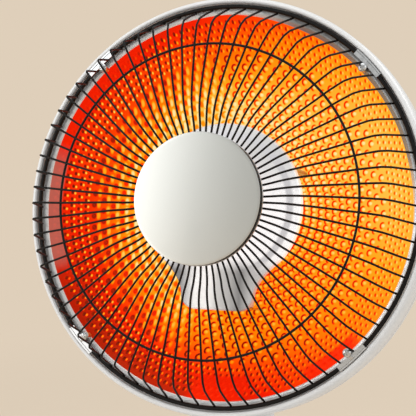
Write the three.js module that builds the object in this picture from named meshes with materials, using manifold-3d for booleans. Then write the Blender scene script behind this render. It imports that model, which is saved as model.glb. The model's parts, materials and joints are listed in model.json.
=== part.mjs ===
// A tilting, swinging parabolic heater: a round dish with a wire guard on a neck and a weighted round base.
// Millimetres, +Z up. The origin is the centre of the base where it meets the floor, and the dish faces -Y.
import * as THREE from "three";
import { mergeVertices } from "three/addons/utils/BufferGeometryUtils.js";
import Module from "manifold-3d";

const wasm = await Module();
wasm.setup();

// ---------------------------------------------------------------- driving dimensions
const FIT_GAP = 0.3; // between parts that seat on or in one another
const RUN_GAP = 0.35; // round a part that turns or slides in another
const REST_TILT = 10; // degrees that the dish leans back at rest
const HEAD_FACETS = 36;
const BASE_FACETS = 30;
const LARGE_FACETS = 24;
const ROUND_FACETS = 16;
const SMALL_FACETS = 12;
const CUT_OVER = 1; // how far a cutting solid runs past the face that it cuts

// Head: r is measured from the dish's axis and d is the depth behind the guard's outer ring
const GUARD_RING_RADIUS = 158; // to the middle of the guard's outer wire; the whole head follows it
const BEZEL_LIP_CLEAR = 3; // between the middle of that wire and the lip
const BEZEL_LIP_WIDTH = 4.5;
const BEZEL_LIP_RADIUS = GUARD_RING_RADIUS + BEZEL_LIP_CLEAR;
const BEZEL_RADIUS = BEZEL_LIP_RADIUS + BEZEL_LIP_WIDTH;
const BEZEL_LIP_RISE = 2.5; // the lip stands in front of the ring plane
const BEZEL_DEPTH = 20;
const BEZEL_WALL = 2.3;
const LEDGE_THICKNESS = 6;
const DISH_DEPTH = 74;
const HOUSING_ROOM = 16.3; // from the deepest point of the dish to the outside of the housing
const HOUSING_BACK = DISH_DEPTH + HOUSING_ROOM;
const HOUSING_BACK_RADIUS = 60;
const HOUSING_WALL = 2.2;
const DISH_WALL = 0.8;
const DISH_THROAT_DEPTH = 17.3;
const FLANGE_WIDTH = 9.5;
const DISH_STEP = 10.2; // from the mouth in to where the side wall meets the paraboloid
const DISH_MOUTH_RADIUS = BEZEL_LIP_RADIUS - FIT_GAP - FLANGE_WIDTH;
const DISH_THROAT_RADIUS = DISH_MOUTH_RADIUS - DISH_STEP;
const FLANGE_DEPTH = 3.5;
const FLANGE_CORNER = 0.8;

const SHADE_RADIUS = 65;
const SHADE_LOBE_DROP = 82;
const SHADE_LOBE_HALF_WIDTH = 30;
const SHADE_LOBE_CORNER = 12;
const SHADE_BLEND_ANGLE = 52; // degrees from straight down at which the lobe leaves the disc
const SHADE_THICKNESS = 1;
const SHADE_RIM = 6; // the edge turned back

const TUBE_RING_RADIUS = 44;
const TUBE_RADIUS = 5;
const TUBE_BORE = 3.6;
const TUBE_STEPS = 20;
const TUBE_RING_STEPS = 10;
const TUBE_RING_OPENING = 38; // degrees from straight down to the first point on the ring
const TUBE_DEPTH = 20;
const TUBE_LEG_SPACING = 15; // half the distance between the two legs
const TUBE_LEG_END = 70;
const COIL_RADIUS = 2.4;
const HOLDER_SIZE = { width: 16, depth: 15, height: 16 };
const HOLDER_SOCKET = 8;
const BRACKET_THICKNESS = 1.5;
const POST_RADIUS = 2.5;
const POST_PITCH_RADIUS = 57;
const POST_ANGLE = 35;

const WIRE_COUNT = 72;
const WIRE_RADIUS = 0.85;
const WIRE_SIDES = 4;
const GUARD_RING_WIRE = 1.75;
const MIDDLE_RING_RADIUS = 121;
const MIDDLE_RING_RISE = 40.6;
const MIDDLE_RING_WIRE = 1;
const KNUCKLE_INSET = 8.5; // from the outer wire in to the bend of each wire
const KNUCKLE_RADIUS = GUARD_RING_RADIUS - KNUCKLE_INSET;
const KNUCKLE_RISE = 37.6;
const KNUCKLE_START = 3.2; // the bend starts this far inside the knuckle
const KNUCKLE_BEYOND = 0.7;
const KNUCKLE_BACK = 2.4;
const HUB_RING_RADIUS = 47.5;
const HUB_RING_WIRE = 1.2;
const HUB_RISE = 55;

const CAP_RADIUS = 50.8;
const CAP_THICKNESS = 1.7;
const CAP_BOSS_RADIUS = 6;
const CAP_FACETS = 24;
const CLAMP_PLATE_RADIUS = 49.5;
const CLAMP_PLATE_THICKNESS = 1.2;

const CLIP_ARC = 9.6; // degrees
const CLIP_WIDTH = 2.6;
const CLIP_THICKNESS = 1.25;
const CLIP_TAB_HALF_WIDTH = 4.6;
const GUARD_SCREW_INSET = 4.8; // from the outer wire in to the screws
const GUARD_SCREW_PITCH_RADIUS = GUARD_RING_RADIUS - GUARD_SCREW_INSET;
const GUARD_SCREW_ANGLE = 45;
const SCREW_RADIUS = 1.5;
const SCREW_HEAD_RADIUS = 3.75;
const SCREW_HEAD_HEIGHT = 2.2;
const SCREW_TIP_CLEAR = 1; // a screw ends this far short of the back of what it is in
const CLIP_SLEEVE_RADIUS = 3.2;
const FASTENER_SIDES = 8;

const VENT_SLOTS = 5; // in each of the two rows above and below the middle of the back
const VENT_PITCH = 13;
const VENT_WIDTH = 5;
const VENT_LENGTH = 22;
const VENT_OFFSET = 34;

const CUTOUT_RADIUS = 8;
const CUTOUT_HEIGHT = 12;
const CUTOUT_PLACE = { x: -38, z: 34 };
const TERMINAL_SIZE = { width: 42, depth: 10, height: 18 };

const HANDLE_SPAN = 46; // from the middle of the handle to each foot
const HANDLE_HEIGHT = 76; // above the dish's axis
const HANDLE_CLEAR = 32; // finger room behind the shell
const HANDLE_GRIP = 7;
const HANDLE_BEND = 16;

// Tilt joint
const PIVOT_BACK = 52; // the tilt axis behind the swing axis
const PIVOT_HEIGHT = 215; // the tilt axis above the floor
const PIVOT_CLEAR = 17.7; // the tilt axis behind the housing
const PIVOT_DEPTH = HOUSING_BACK + PIVOT_CLEAR; // and behind the plane of the guard's outer ring
const PIVOT_INSET = 70.5; // from the rim of the bezel in to the tilt axis
const PIVOT_DROP = BEZEL_RADIUS - PIVOT_INSET; // the tilt axis below the dish's own axis
const EAR_RADIUS = 13;
const EAR_THICKNESS = 4;
const BARREL_RADIUS = 12;
const BARREL_HALF_LENGTH = 18;
const BRACKET_PLATE = 4;
const BRACKET_PLATE_HALF_HEIGHT = 27;
const TILT_BOLT_RADIUS = 3;
const TILT_BOLT_HEAD_RADIUS = 6;
const TILT_BOLT_HEAD = 3.6;

// Neck
const NECK_FOOT_HALF_WIDTH = 28;
const NECK_FOOT_HALF_DEPTH = 22;
const NECK_TOP_HALF_WIDTH = 17.4;
const NECK_TOP_HALF_DEPTH = 13.5;
const NECK_WALL = 2;
const NECK_STATIONS = 8;
const NECK_ARC_STEPS = 6;
const NECK_TOP_CLEAR = 13; // between the tilt axis and the top of the neck shells
const NECK_RISE_SHARE = 0.38; // of the neck's height that its line sets out upright
const NECK_LEAN_SHARE = 0.72; // where the line's third handle stands, as shares of its reach
const NECK_LEAN_RISE_SHARE = 0.56; // and of its height
const THROAT_HALF_WIDTH = 7.7; // the web between the neck and the barrel
const THROAT_FRONT = 8.6;
const THROAT_BACK = 4.8;
const FOOT_RADIUS = 34;
const FOOT_THICKNESS = 8;
const FOOT_BOTTOM_CHAMFER = 1;
const FOOT_TOP_CHAMFER = 2.5;

// Swing joint and its drive
const SHAFT_RADIUS = 7;
const SHAFT_BORE = 4;
const SHAFT_COLLAR = 10;
const SHAFT_COLLAR_HEIGHT = 1.3;
const BUSH_WALL = 3.4;
const BUSH_FLANGE_RADIUS = 16;
const BUSH_FLANGE_HEIGHT = 1.5;
const BUSH_LENGTH = 12;
const LEVER_THICKNESS = 3;
const LEVER_HUB_RADIUS = 13;
const LEVER_HALF_WIDTH = 7.5;
const CRANK_OFFSET = 26; // from the swing axis to the crank's axis
const CRANK_THROW = 18.2;
const CRANK_THICKNESS = 3;
const CRANK_PIN_RADIUS = 2.5;
const CRANK_SLOT_PLAY = 1;
const CRANK_EDGE = 4.5;
const MOTOR_RADIUS = 24;
const MOTOR_SHAFT_RADIUS = 2.5;

// Base
const BASE_RADIUS = 115;
const BASE_TOP = 50;
const BASE_TOP_RADIUS = 37;
const BASE_SHOULDER_INSET = 11;
const BASE_SHOULDER_RADIUS = BASE_RADIUS - BASE_SHOULDER_INSET;
const BASE_SHOULDER = 35.5;
const BASE_WALL = 2.5;
const FOOT_PAD_HEIGHT = 3;
const FOOT_PAD_RADIUS = 8;
const FOOT_PAD_INSET = 17;
const FOOT_PAD_PITCH_RADIUS = BASE_RADIUS - FOOT_PAD_INSET;
const PLATE_THICKNESS = 2;
const BASE_BOSS_RADIUS = 4.5;
const BASE_BOSS_PITCH_RADIUS = 57;
const COUNTERWEIGHT_CLEAR = 4.5; // between the bosses and the counterweight
const COUNTERWEIGHT_INSET = 9;
const COUNTERWEIGHT_INNER = BASE_BOSS_PITCH_RADIUS + BASE_BOSS_RADIUS + COUNTERWEIGHT_CLEAR;
const COUNTERWEIGHT_OUTER = BASE_RADIUS - COUNTERWEIGHT_INSET;
const COUNTERWEIGHT_HEIGHT = 6;

// Controls, on the sloping top of the base
const CONTROL_RADIUS = 76;
const CONTROL_SPREAD = 26; // degrees between neighbouring controls round the base
const KNOB_RADIUS = 17;
const KNOB_SKIRT = 3.4;
const KNOB_HEIGHT = 16;
const KNOB_GRIP_HALF_WIDTH = 4.5;
const KNOB_CHAMFER = 1.2;
const SPINDLE_RADIUS = 3;
const SPINDLE_REACH = 10;
const SWITCH_SIZE = 26;
const SWITCH_HEIGHT = 14;
const BUTTON_RADIUS = 6;
const BUTTON_RISE = 4;
const BUTTON_TRAVEL = 3;
const BUTTON_FLANGE = 1.4;
const BUTTON_EDGE = 0.8;
const BUTTON_SWITCH_SIZE = 20;
const BUTTON_SWITCH_HEIGHT = 14;
const LAMP_RADIUS = 3;
const LAMP_RISE = 1.2;

const TIP_PLACE = { x: 0, y: -38 };
const TIP_BODY_SIZE = 20;
const TIP_BODY_HEIGHT = 14;
const TIP_PLUNGER_RADIUS = 4;
const TIP_TRAVEL = 4;
const TIP_SHOULDER = 1.6;
const TIP_BODY_FLOOR = 1; // under the well of the switch

const GLAND_RADIUS = 9;
const GLAND_BORE = 4.2;
const GLAND_FLANGE = 1.4;
const GLAND_LENGTH = 12;
const GLAND_HEIGHT = 18;

// ---------------------------------------------------------------- colours and finishes
const finish = (color, roughness, metalness = 0) =>
  new THREE.MeshStandardMaterial({ color, roughness, metalness });
const whitePlastic = finish("#ecebe8", 0.4);
const greyPlastic = finish("#8f9193", 0.5);
const blackWire = finish("#101010", 0.35, 0.3);
const brightAluminium = finish("#d9d9d9", 0.15, 1);
const satinAluminium = finish("#d4d2cd", 0.4, 1);
const zincSteel = finish("#b9bcbe", 0.35, 1);
const castIron = finish("#4a4b4d", 0.8, 0.6);
const ceramic = finish("#efe9dc", 0.6);
const quartz = finish("#ffb26b", 0.1);
const heatingAlloy = finish("#ff7a2b", 0.5, 0.5);
const phenolic = finish("#2b2b2d", 0.6);
const rubber = finish("#1b1b1c", 0.9);
const lampLens = finish("#d3261a", 0.2);

// ---------------------------------------------------------------- small tools
const radians = (degrees) => (degrees * Math.PI) / 180;
const polar = (radius, degrees) => ({
  x: radius * Math.cos(radians(degrees)),
  z: radius * Math.sin(radians(degrees)),
});

// A closed geometry as a solid with its faces outwards
function solidOf(geometry) {
  const bare = geometry.index ? geometry.toNonIndexed() : geometry.clone();
  bare.deleteAttribute("normal");
  bare.deleteAttribute("uv");
  const merged = mergeVertices(bare, 1e-4);
  const triVerts = new Uint32Array(merged.index.array);
  const vertProperties = new Float32Array(merged.attributes.position.array);
  const make = () => new wasm.Manifold(new wasm.Mesh({ numProp: 3, vertProperties, triVerts }));
  const made = make();
  if (made.volume() >= 0) return made;
  for (let i = 0; i < triVerts.length; i += 3) {
    [triVerts[i + 1], triVerts[i + 2]] = [triVerts[i + 2], triVerts[i + 1]];
  }
  return make();
}

function geometryOf(solid) {
  const { vertProperties, triVerts } = solid.getMesh();
  const geometry = new THREE.BufferGeometry();
  geometry.setAttribute("position", new THREE.BufferAttribute(vertProperties, 3));
  geometry.setIndex(new THREE.BufferAttribute(triVerts, 1));
  geometry.computeVertexNormals();
  return geometry;
}

function place(geometry, x = 0, y = 0, z = 0) {
  return geometry.translate(x, y, z);
}

// A profile of [radius, depth] turned round the dish's axis, which runs along Y
function turnedRoundY(profile, facets = HEAD_FACETS) {
  const points = profile.map(([r, d]) => new THREE.Vector2(r, d));
  return solidOf(new THREE.LatheGeometry(points, facets));
}

// A profile of [radius, height] turned round an upright axis
function turnedRoundZ(profile, facets = BASE_FACETS) {
  const points = profile.map(([r, z]) => new THREE.Vector2(r, z));
  return solidOf(new THREE.LatheGeometry(points, facets).rotateX(Math.PI / 2));
}

const closed = (profile) => [...profile, profile[0]];

function rodAlongY(radius, from, to, sides, x = 0, z = 0) {
  const rod = new THREE.CylinderGeometry(radius, radius, to - from, sides);
  return solidOf(place(rod, x, (from + to) / 2, z));
}

function rodAlongZ(radius, from, to, sides, x = 0, y = 0) {
  const rod = new THREE.CylinderGeometry(radius, radius, to - from, sides).rotateX(Math.PI / 2);
  return solidOf(place(rod, x, y, (from + to) / 2));
}

function rodAlongX(radius, from, to, sides, y = 0, z = 0) {
  const rod = new THREE.CylinderGeometry(radius, radius, to - from, sides).rotateZ(Math.PI / 2);
  return solidOf(place(rod, (from + to) / 2, y, z));
}

function block([x0, x1], [y0, y1], [z0, z1]) {
  const box = new THREE.BoxGeometry(x1 - x0, y1 - y0, z1 - z0);
  return solidOf(place(box, (x0 + x1) / 2, (y0 + y1) / 2, (z0 + z1) / 2));
}

// A flat shape drawn in X and Z, as thick as the depths from front to back
function plateInHead(shape, front, back, curveSegments = 6) {
  const options = { depth: back - front, bevelEnabled: false, curveSegments };
  const plate = new THREE.ExtrudeGeometry(shape, options).rotateX(Math.PI / 2);
  return solidOf(place(plate, 0, back, 0));
}

// A flat shape drawn in X and Y, from one height to another
function plateInBase(shape, bottom, top, curveSegments = 8) {
  const options = { depth: top - bottom, bevelEnabled: false, curveSegments };
  return solidOf(place(new THREE.ExtrudeGeometry(shape, options), 0, 0, bottom));
}

// A skin over rings of points that all have the same count, closed by a face at each end
function loft(rings, endShape) {
  const count = rings[0].length;
  const positions = rings.flat().flatMap((p) => [p.x, p.y, p.z]);
  const index = [];
  for (let ring = 0; ring + 1 < rings.length; ring += 1) {
    for (let i = 0; i < count; i += 1) {
      const a = ring * count + i;
      const b = ring * count + ((i + 1) % count);
      index.push(a, b, b + count, a, b + count, a + count);
    }
  }
  const last = (rings.length - 1) * count;
  const clockwise = THREE.ShapeUtils.isClockWise(endShape);
  THREE.ShapeUtils.triangulateShape(endShape, []).forEach((face) => {
    const [a, b, c] = clockwise ? [...face].reverse() : face;
    index.push(a, c, b, last + a, last + b, last + c);
  });
  const geometry = new THREE.BufferGeometry();
  geometry.setAttribute("position", new THREE.Float32BufferAttribute(positions, 3));
  geometry.setIndex(index);
  return solidOf(geometry);
}

const joined = (solids) => solids.reduce((all, next) => all.add(next));
const turnedInHead = (solid, degrees) => solid.rotate([0, -degrees, 0]);

function named(name, solid, material) {
  const mesh = new THREE.Mesh(geometryOf(solid), material);
  mesh.name = name;
  return mesh;
}

// ---------------------------------------------------------------- dish and housing
const dishCurve = (DISH_DEPTH - DISH_THROAT_DEPTH) / DISH_THROAT_RADIUS ** 2;
const dishDepthAt = (r) => DISH_DEPTH - dishCurve * r * r;
const dishStations = [0, 0.4, 0.65, 0.84, 1].map((share) => share * DISH_THROAT_RADIUS);
const ledgeFront = FLANGE_DEPTH + DISH_WALL + FIT_GAP;
const ledgeBack = ledgeFront + LEDGE_THICKNESS;
const ledgeInner = DISH_MOUTH_RADIUS - FLANGE_CORNER + DISH_WALL + FIT_GAP;
const flangeRadius = BEZEL_LIP_RADIUS - FIT_GAP;
const housingFront = BEZEL_DEPTH + FIT_GAP;
const housingDomeDepth = HOUSING_BACK - housingFront;
const guardScrewAngles = [0, 1, 2, 3].map((i) => GUARD_SCREW_ANGLE + i * 90);

// The polished front of the dish from its axis out to the flange, moved back by offset
function dishFace(offset, sideOffset = offset) {
  return [
    ...dishStations.map((r) => [r + (sideOffset * r) / DISH_THROAT_RADIUS, dishDepthAt(r) + offset]),
    [DISH_MOUTH_RADIUS - FLANGE_CORNER + sideOffset, FLANGE_DEPTH + FLANGE_CORNER + offset],
  ];
}

function makeReflector() {
  const flangeBack = FLANGE_DEPTH + DISH_WALL;
  const front = [...dishFace(0), [DISH_MOUTH_RADIUS, FLANGE_DEPTH], [flangeRadius, FLANGE_DEPTH]];
  const back = [...dishFace(DISH_WALL), [DISH_MOUTH_RADIUS, flangeBack], [flangeRadius, flangeBack]];
  const dish = turnedRoundY([...front, ...back.reverse()]);
  return guardScrewAngles.reduce((cut, angle) => cut.subtract(screwHole(angle)), dish);
}

// All the room in front of the dish, which trims what stands on it
function roomInDish() {
  const wall = dishFace(-FIT_GAP);
  const mouth = wall[wall.length - 1][0];
  return turnedRoundY([...wall, [mouth, -BEZEL_RADIUS], [0, -BEZEL_RADIUS]]);
}

// All the room behind the dish
function roomBehindDish() {
  const wall = dishFace(DISH_WALL + FIT_GAP);
  const edge = wall[wall.length - 1][0];
  return turnedRoundY([...wall, [edge, BEZEL_RADIUS], [0, BEZEL_RADIUS]]);
}

function screwHole(angle) {
  const at = polar(GUARD_SCREW_PITCH_RADIUS, angle);
  return rodAlongY(SCREW_RADIUS + FIT_GAP, -BEZEL_DEPTH, BEZEL_DEPTH, FASTENER_SIDES, at.x, at.z);
}

function makeBezel() {
  const lipRound = BEZEL_LIP_RISE / 2;
  const outline = [
    [BEZEL_LIP_RADIUS, lipRound - BEZEL_LIP_RISE],
    [BEZEL_LIP_RADIUS + lipRound, -BEZEL_LIP_RISE],
    [BEZEL_RADIUS - lipRound, -BEZEL_LIP_RISE + lipRound / 2],
    [BEZEL_RADIUS, lipRound],
    [BEZEL_RADIUS, BEZEL_DEPTH],
    [BEZEL_RADIUS - BEZEL_WALL, BEZEL_DEPTH],
    [BEZEL_RADIUS - BEZEL_WALL, ledgeBack],
    [ledgeInner, ledgeBack],
    [ledgeInner, ledgeFront],
    [BEZEL_LIP_RADIUS, ledgeFront],
  ];
  return guardScrewAngles.reduce(
    (bezel, angle) => bezel.subtract(screwHole(angle)),
    turnedRoundY(closed(outline)),
  );
}

// The moulded shell behind the dish: a quarter ellipse from the bezel to a flat back
function housingFace(inset) {
  const steps = 5;
  const points = [[0, HOUSING_BACK - inset]];
  for (let i = 0; i <= steps; i += 1) {
    const turn = ((steps - i) / steps) * (Math.PI / 2);
    const reach = BEZEL_RADIUS - HOUSING_BACK_RADIUS - inset;
    const drop = housingDomeDepth - inset;
    points.push([HOUSING_BACK_RADIUS + reach * Math.cos(turn), housingFront + drop * Math.sin(turn)]);
  }
  return points;
}

function makeRearHousing() {
  let shell = turnedRoundY([...housingFace(0), ...housingFace(HOUSING_WALL).reverse()]);
  for (const side of [-1, 1]) {
    for (let i = 0; i < VENT_SLOTS; i += 1) {
      const x = (i - (VENT_SLOTS - 1) / 2) * VENT_PITCH;
      const z = side * VENT_OFFSET;
      const across = [x - VENT_WIDTH / 2, x + VENT_WIDTH / 2];
      const up = [z - VENT_LENGTH / 2, z + VENT_LENGTH / 2];
      shell = shell.subtract(block(across, [DISH_DEPTH, HOUSING_BACK + HOUSING_WALL], up));
    }
  }
  return shell;
}

// A layer that lies on the outside of the housing, from one height above it to another
function layerOnHousing(from, to) {
  return turnedRoundY([...housingFace(-to), ...housingFace(-from).reverse()]);
}

const housingOutside = turnedRoundY([...housingFace(-FIT_GAP), [0, housingFront]]);

// ---------------------------------------------------------------- heat shade
// A disc with a lobe that hangs from it, drawn in by inset all round
function shadeOutline(inset) {
  const radius = SHADE_RADIUS - inset;
  const half = SHADE_LOBE_HALF_WIDTH - inset;
  const bottom = -SHADE_LOBE_DROP + inset;
  const corner = SHADE_LOBE_CORNER - inset;
  const leave = radians(SHADE_BLEND_ANGLE);
  const from = { x: radius * Math.sin(leave), y: -radius * Math.cos(leave) };
  const neckTop = bottom + corner + SHADE_LOBE_CORNER;
  const shape = new THREE.Shape();
  shape.moveTo(half - corner, bottom);
  shape.absarc(half - corner, bottom + corner, corner, -Math.PI / 2, 0, false);
  shape.quadraticCurveTo(half + inset / 2, neckTop, from.x, from.y);
  shape.absarc(0, 0, radius, leave - Math.PI / 2, Math.PI * 1.5 - leave, false);
  shape.quadraticCurveTo(-half - inset / 2, neckTop, -half, bottom + corner);
  shape.absarc(-half + corner, bottom + corner, corner, Math.PI, Math.PI * 1.5, false);
  return shape;
}

const shadeFront = -SHADE_THICKNESS / 2;
const shadeBack = SHADE_THICKNESS / 2;

function makeHeatShade() {
  const outside = plateInHead(shadeOutline(0), shadeFront, shadeFront + SHADE_RIM);
  const inside = plateInHead(shadeOutline(SHADE_THICKNESS), shadeBack, SHADE_RIM + SHADE_THICKNESS);
  return outside.subtract(inside);
}

// ---------------------------------------------------------------- heating element
const holderTop = -TUBE_LEG_END + HOLDER_SOCKET;
const holderBottom = holderTop - HOLDER_SIZE.height;

// The tube is bent to a ring that is open at the bottom, with two legs that hang from it
function tubeCentreLine() {
  const leg = (side) => [
    new THREE.Vector3(side * TUBE_LEG_SPACING, TUBE_DEPTH, -TUBE_LEG_END),
    new THREE.Vector3(side * TUBE_LEG_SPACING, TUBE_DEPTH, -TUBE_LEG_END + HOLDER_SOCKET),
    new THREE.Vector3(side * TUBE_LEG_SPACING, TUBE_DEPTH, -TUBE_RING_RADIUS - TUBE_RADIUS * 2),
  ];
  const ring = [];
  for (let i = 0; i <= TUBE_RING_STEPS; i += 1) {
    const angle = -90 + TUBE_RING_OPENING + ((360 - 2 * TUBE_RING_OPENING) * i) / TUBE_RING_STEPS;
    const at = polar(TUBE_RING_RADIUS, angle);
    ring.push(new THREE.Vector3(at.x, TUBE_DEPTH, at.z));
  }
  return new THREE.CatmullRomCurve3([...leg(1), ...ring, ...leg(-1).reverse()], false, "centripetal");
}

function makeQuartzTube() {
  const section = new THREE.Shape(ringPoints(TUBE_RADIUS, 6));
  section.holes.push(new THREE.Path(ringPoints(TUBE_BORE, 6).reverse()));
  const options = { steps: TUBE_STEPS, bevelEnabled: false, extrudePath: tubeCentreLine() };
  return solidOf(new THREE.ExtrudeGeometry(section, options));
}

function ringPoints(radius, sides) {
  const points = [];
  for (let i = 0; i < sides; i += 1) {
    const turn = (i / sides) * Math.PI * 2;
    points.push(new THREE.Vector2(radius * Math.cos(turn), radius * Math.sin(turn)));
  }
  return points;
}

function makeHeatingCoil() {
  const section = new THREE.Shape(ringPoints(COIL_RADIUS, 4));
  const options = { steps: TUBE_STEPS, bevelEnabled: false, extrudePath: tubeCentreLine() };
  return solidOf(new THREE.ExtrudeGeometry(section, options));
}

function makeTubeHolder(side) {
  const { width, depth } = HOLDER_SIZE;
  const middle = side * TUBE_LEG_SPACING;
  const across = [middle - width / 2 + FIT_GAP, middle + width / 2 - FIT_GAP];
  const body = block(across, [TUBE_DEPTH - depth / 2, TUBE_DEPTH + depth / 2], [holderBottom, holderTop]);
  const socketFloor = -TUBE_LEG_END - FIT_GAP;
  const socketTop = holderTop + CUT_OVER;
  const socket = rodAlongZ(TUBE_RADIUS + RUN_GAP, socketFloor, socketTop, SMALL_FACETS, middle, TUBE_DEPTH);
  return body.subtract(socket);
}

// A sheet-metal shelf from the dish to the shade, which carries the two ceramic holders
function makeElementBracket() {
  const top = holderBottom - FIT_GAP;
  const half = SHADE_LOBE_HALF_WIDTH - SHADE_LOBE_CORNER * 0.75;
  const bottom = top - BRACKET_THICKNESS;
  const shelf = block([-half, half], [shadeBack + FIT_GAP, DISH_DEPTH], [bottom, top]);
  const tabDepth = TUBE_DEPTH + HOLDER_SIZE.depth / 2 + FIT_GAP;
  const upstand = block([-half, half], [tabDepth, tabDepth + BRACKET_THICKNESS], [bottom, holderTop]);
  return shelf.add(upstand).intersect(roomInDish());
}

function makeShadePost(side) {
  const at = polar(POST_PITCH_RADIUS, side > 0 ? POST_ANGLE : 180 - POST_ANGLE);
  const rod = rodAlongY(POST_RADIUS, shadeBack + FIT_GAP, DISH_DEPTH, SMALL_FACETS, at.x, at.z);
  return rod.intersect(roomInDish());
}

// ---------------------------------------------------------------- wire guard and its cap
const guardRingHalf = (GUARD_RING_WIRE * Math.sqrt(Math.PI)) / 2; // a square wire with the round one's area
const guardPath = [
  [HUB_RING_RADIUS - HUB_RING_WIRE, -HUB_RISE],
  [MIDDLE_RING_RADIUS, -MIDDLE_RING_RISE],
  [KNUCKLE_RADIUS - KNUCKLE_START, -KNUCKLE_RISE - FIT_GAP],
  [KNUCKLE_RADIUS + KNUCKLE_BEYOND, -KNUCKLE_RISE + KNUCKLE_BACK],
  [GUARD_RING_RADIUS - guardRingHalf + 1.3 * WIRE_RADIUS, guardRingHalf / 2],
];

function wireSolid() {
  const rings = guardPath.map(([r, d], i) => {
    const before = guardPath[Math.max(i - 1, 0)];
    const after = guardPath[Math.min(i + 1, guardPath.length - 1)];
    const along = new THREE.Vector2(after[0] - before[0], after[1] - before[1]).normalize();
    return ringPoints(WIRE_RADIUS, WIRE_SIDES).map(
      (p) => new THREE.Vector3(r - along.y * p.x, d + along.x * p.x, p.y),
    );
  });
  return loft(rings, ringPoints(WIRE_RADIUS, WIRE_SIDES));
}

// The wires are welded into the outer ring
function makeWireGuard() {
  const inner = GUARD_RING_RADIUS - guardRingHalf;
  const outer = GUARD_RING_RADIUS + guardRingHalf;
  const section = [
    [inner, -guardRingHalf],
    [outer, -guardRingHalf],
    [outer, guardRingHalf],
    [inner, guardRingHalf],
  ];
  const wire = wireSolid();
  const pitch = 360 / WIRE_COUNT;
  let guard = turnedRoundY(closed(section), WIRE_COUNT);
  for (let i = 0; i < WIRE_COUNT; i += 1) {
    guard = guard.add(turnedInHead(wire, pitch * (i + 0.5)));
  }
  return guard;
}

// A ring that lies behind the wires, where they are at this rise in front of the outer ring
function makeInnerRing(radius, rise, wire) {
  const depth = -rise + WIRE_RADIUS + FIT_GAP + wire;
  return turnedRoundY(closed(ringPoints(wire, 4).map((p) => [radius + p.x, depth + p.y])), HEAD_FACETS);
}

const makeMiddleRing = () => makeInnerRing(MIDDLE_RING_RADIUS, MIDDLE_RING_RISE, MIDDLE_RING_WIRE);
const makeHubRing = () => makeInnerRing(HUB_RING_RADIUS, HUB_RISE, HUB_RING_WIRE);

const capBack = -HUB_RISE - WIRE_RADIUS - FIT_GAP;
const capFront = capBack - CAP_THICKNESS;
const clampFront = -HUB_RISE + WIRE_RADIUS + 2 * HUB_RING_WIRE + 2 * FIT_GAP;
const clampBack = clampFront + CLAMP_PLATE_THICKNESS;

function makeCentreCap() {
  const bossBack = clampFront - FIT_GAP;
  const pocketFront = (capBack + bossBack) / 2 - CAP_THICKNESS / 2;
  const profile = [
    [0, capFront],
    [CAP_RADIUS - CAP_THICKNESS, capFront],
    [CAP_RADIUS, capFront + CAP_THICKNESS / 2],
    [CAP_RADIUS, capBack],
    [CAP_BOSS_RADIUS, capBack],
    [CAP_BOSS_RADIUS, bossBack],
    [0, bossBack],
  ];
  const disc = turnedRoundY(profile, CAP_FACETS);
  return disc.subtract(rodAlongY(SCREW_RADIUS + FIT_GAP, pocketFront, bossBack + CUT_OVER, FASTENER_SIDES));
}

function makeClampPlate() {
  const profile = [
    [0, clampFront],
    [CLAMP_PLATE_RADIUS, clampFront],
    [CLAMP_PLATE_RADIUS, clampBack],
    [0, clampBack],
  ];
  const plate = turnedRoundY(profile, CAP_FACETS);
  const front = clampFront - CUT_OVER;
  return plate.subtract(rodAlongY(SCREW_RADIUS + FIT_GAP, front, clampBack + CUT_OVER, FASTENER_SIDES));
}

// A pan-head screw along Y: the head starts at seat and the shank ends at tip, which may lie either way
function screwAlongY(seat, tip, x = 0, z = 0) {
  const way = Math.sign(tip - seat);
  const profile = [
    [0, seat - way * SCREW_HEAD_HEIGHT],
    [SCREW_HEAD_RADIUS * 0.8, seat - way * SCREW_HEAD_HEIGHT],
    [SCREW_HEAD_RADIUS, seat],
    [SCREW_RADIUS, seat],
    [SCREW_RADIUS, tip],
    [0, tip],
  ];
  return turnedRoundY(profile, FASTENER_SIDES).translate([x, 0, z]);
}

function makeCapScrew() {
  return screwAlongY(clampBack + FIT_GAP, (capBack + clampFront) / 2);
}

// ---------------------------------------------------------------- guard clips
const clipBack = -guardRingHalf - FIT_GAP;
const clipFront = clipBack - CLIP_THICKNESS;
const clipInner = GUARD_RING_RADIUS - GUARD_RING_WIRE + 2 * WIRE_RADIUS + FIT_GAP;

function makeGuardClip(angle) {
  const half = radians(CLIP_ARC / 2);
  const outer = clipInner + CLIP_WIDTH;
  const strip = new THREE.Shape();
  strip.absarc(0, 0, outer, -half, half, false);
  strip.absarc(0, 0, clipInner, half, -half, true);
  const tabStart = GUARD_SCREW_PITCH_RADIUS - SCREW_HEAD_RADIUS;
  const tab = block(
    [tabStart, clipInner + CLIP_WIDTH / 2],
    [clipFront, clipBack],
    [-CLIP_TAB_HALF_WIDTH, CLIP_TAB_HALF_WIDTH],
  );
  const sleeveEnd = FLANGE_DEPTH - FIT_GAP;
  const sleeveAt = GUARD_SCREW_PITCH_RADIUS;
  const sleeve = rodAlongY(CLIP_SLEEVE_RADIUS - FIT_GAP, clipFront, sleeveEnd, FASTENER_SIDES, sleeveAt, 0);
  const clip = joined([plateInHead(strip, clipFront, clipBack, 4), tab, sleeve]);
  return turnedInHead(clip, angle).subtract(screwHole(angle));
}

function makeGuardScrew(angle) {
  const at = polar(GUARD_SCREW_PITCH_RADIUS, angle);
  return screwAlongY(clipFront - FIT_GAP, ledgeBack - SCREW_TIP_CLEAR, at.x, at.z);
}

// ---------------------------------------------------------------- inside the housing
function makeThermalCutout() {
  const { x, z } = CUTOUT_PLACE;
  const front = dishDepthAt(Math.hypot(x, z));
  const can = rodAlongY(CUTOUT_RADIUS, front - CUTOUT_RADIUS, front + CUTOUT_HEIGHT, ROUND_FACETS, x, z);
  return can.intersect(roomBehindDish());
}

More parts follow.
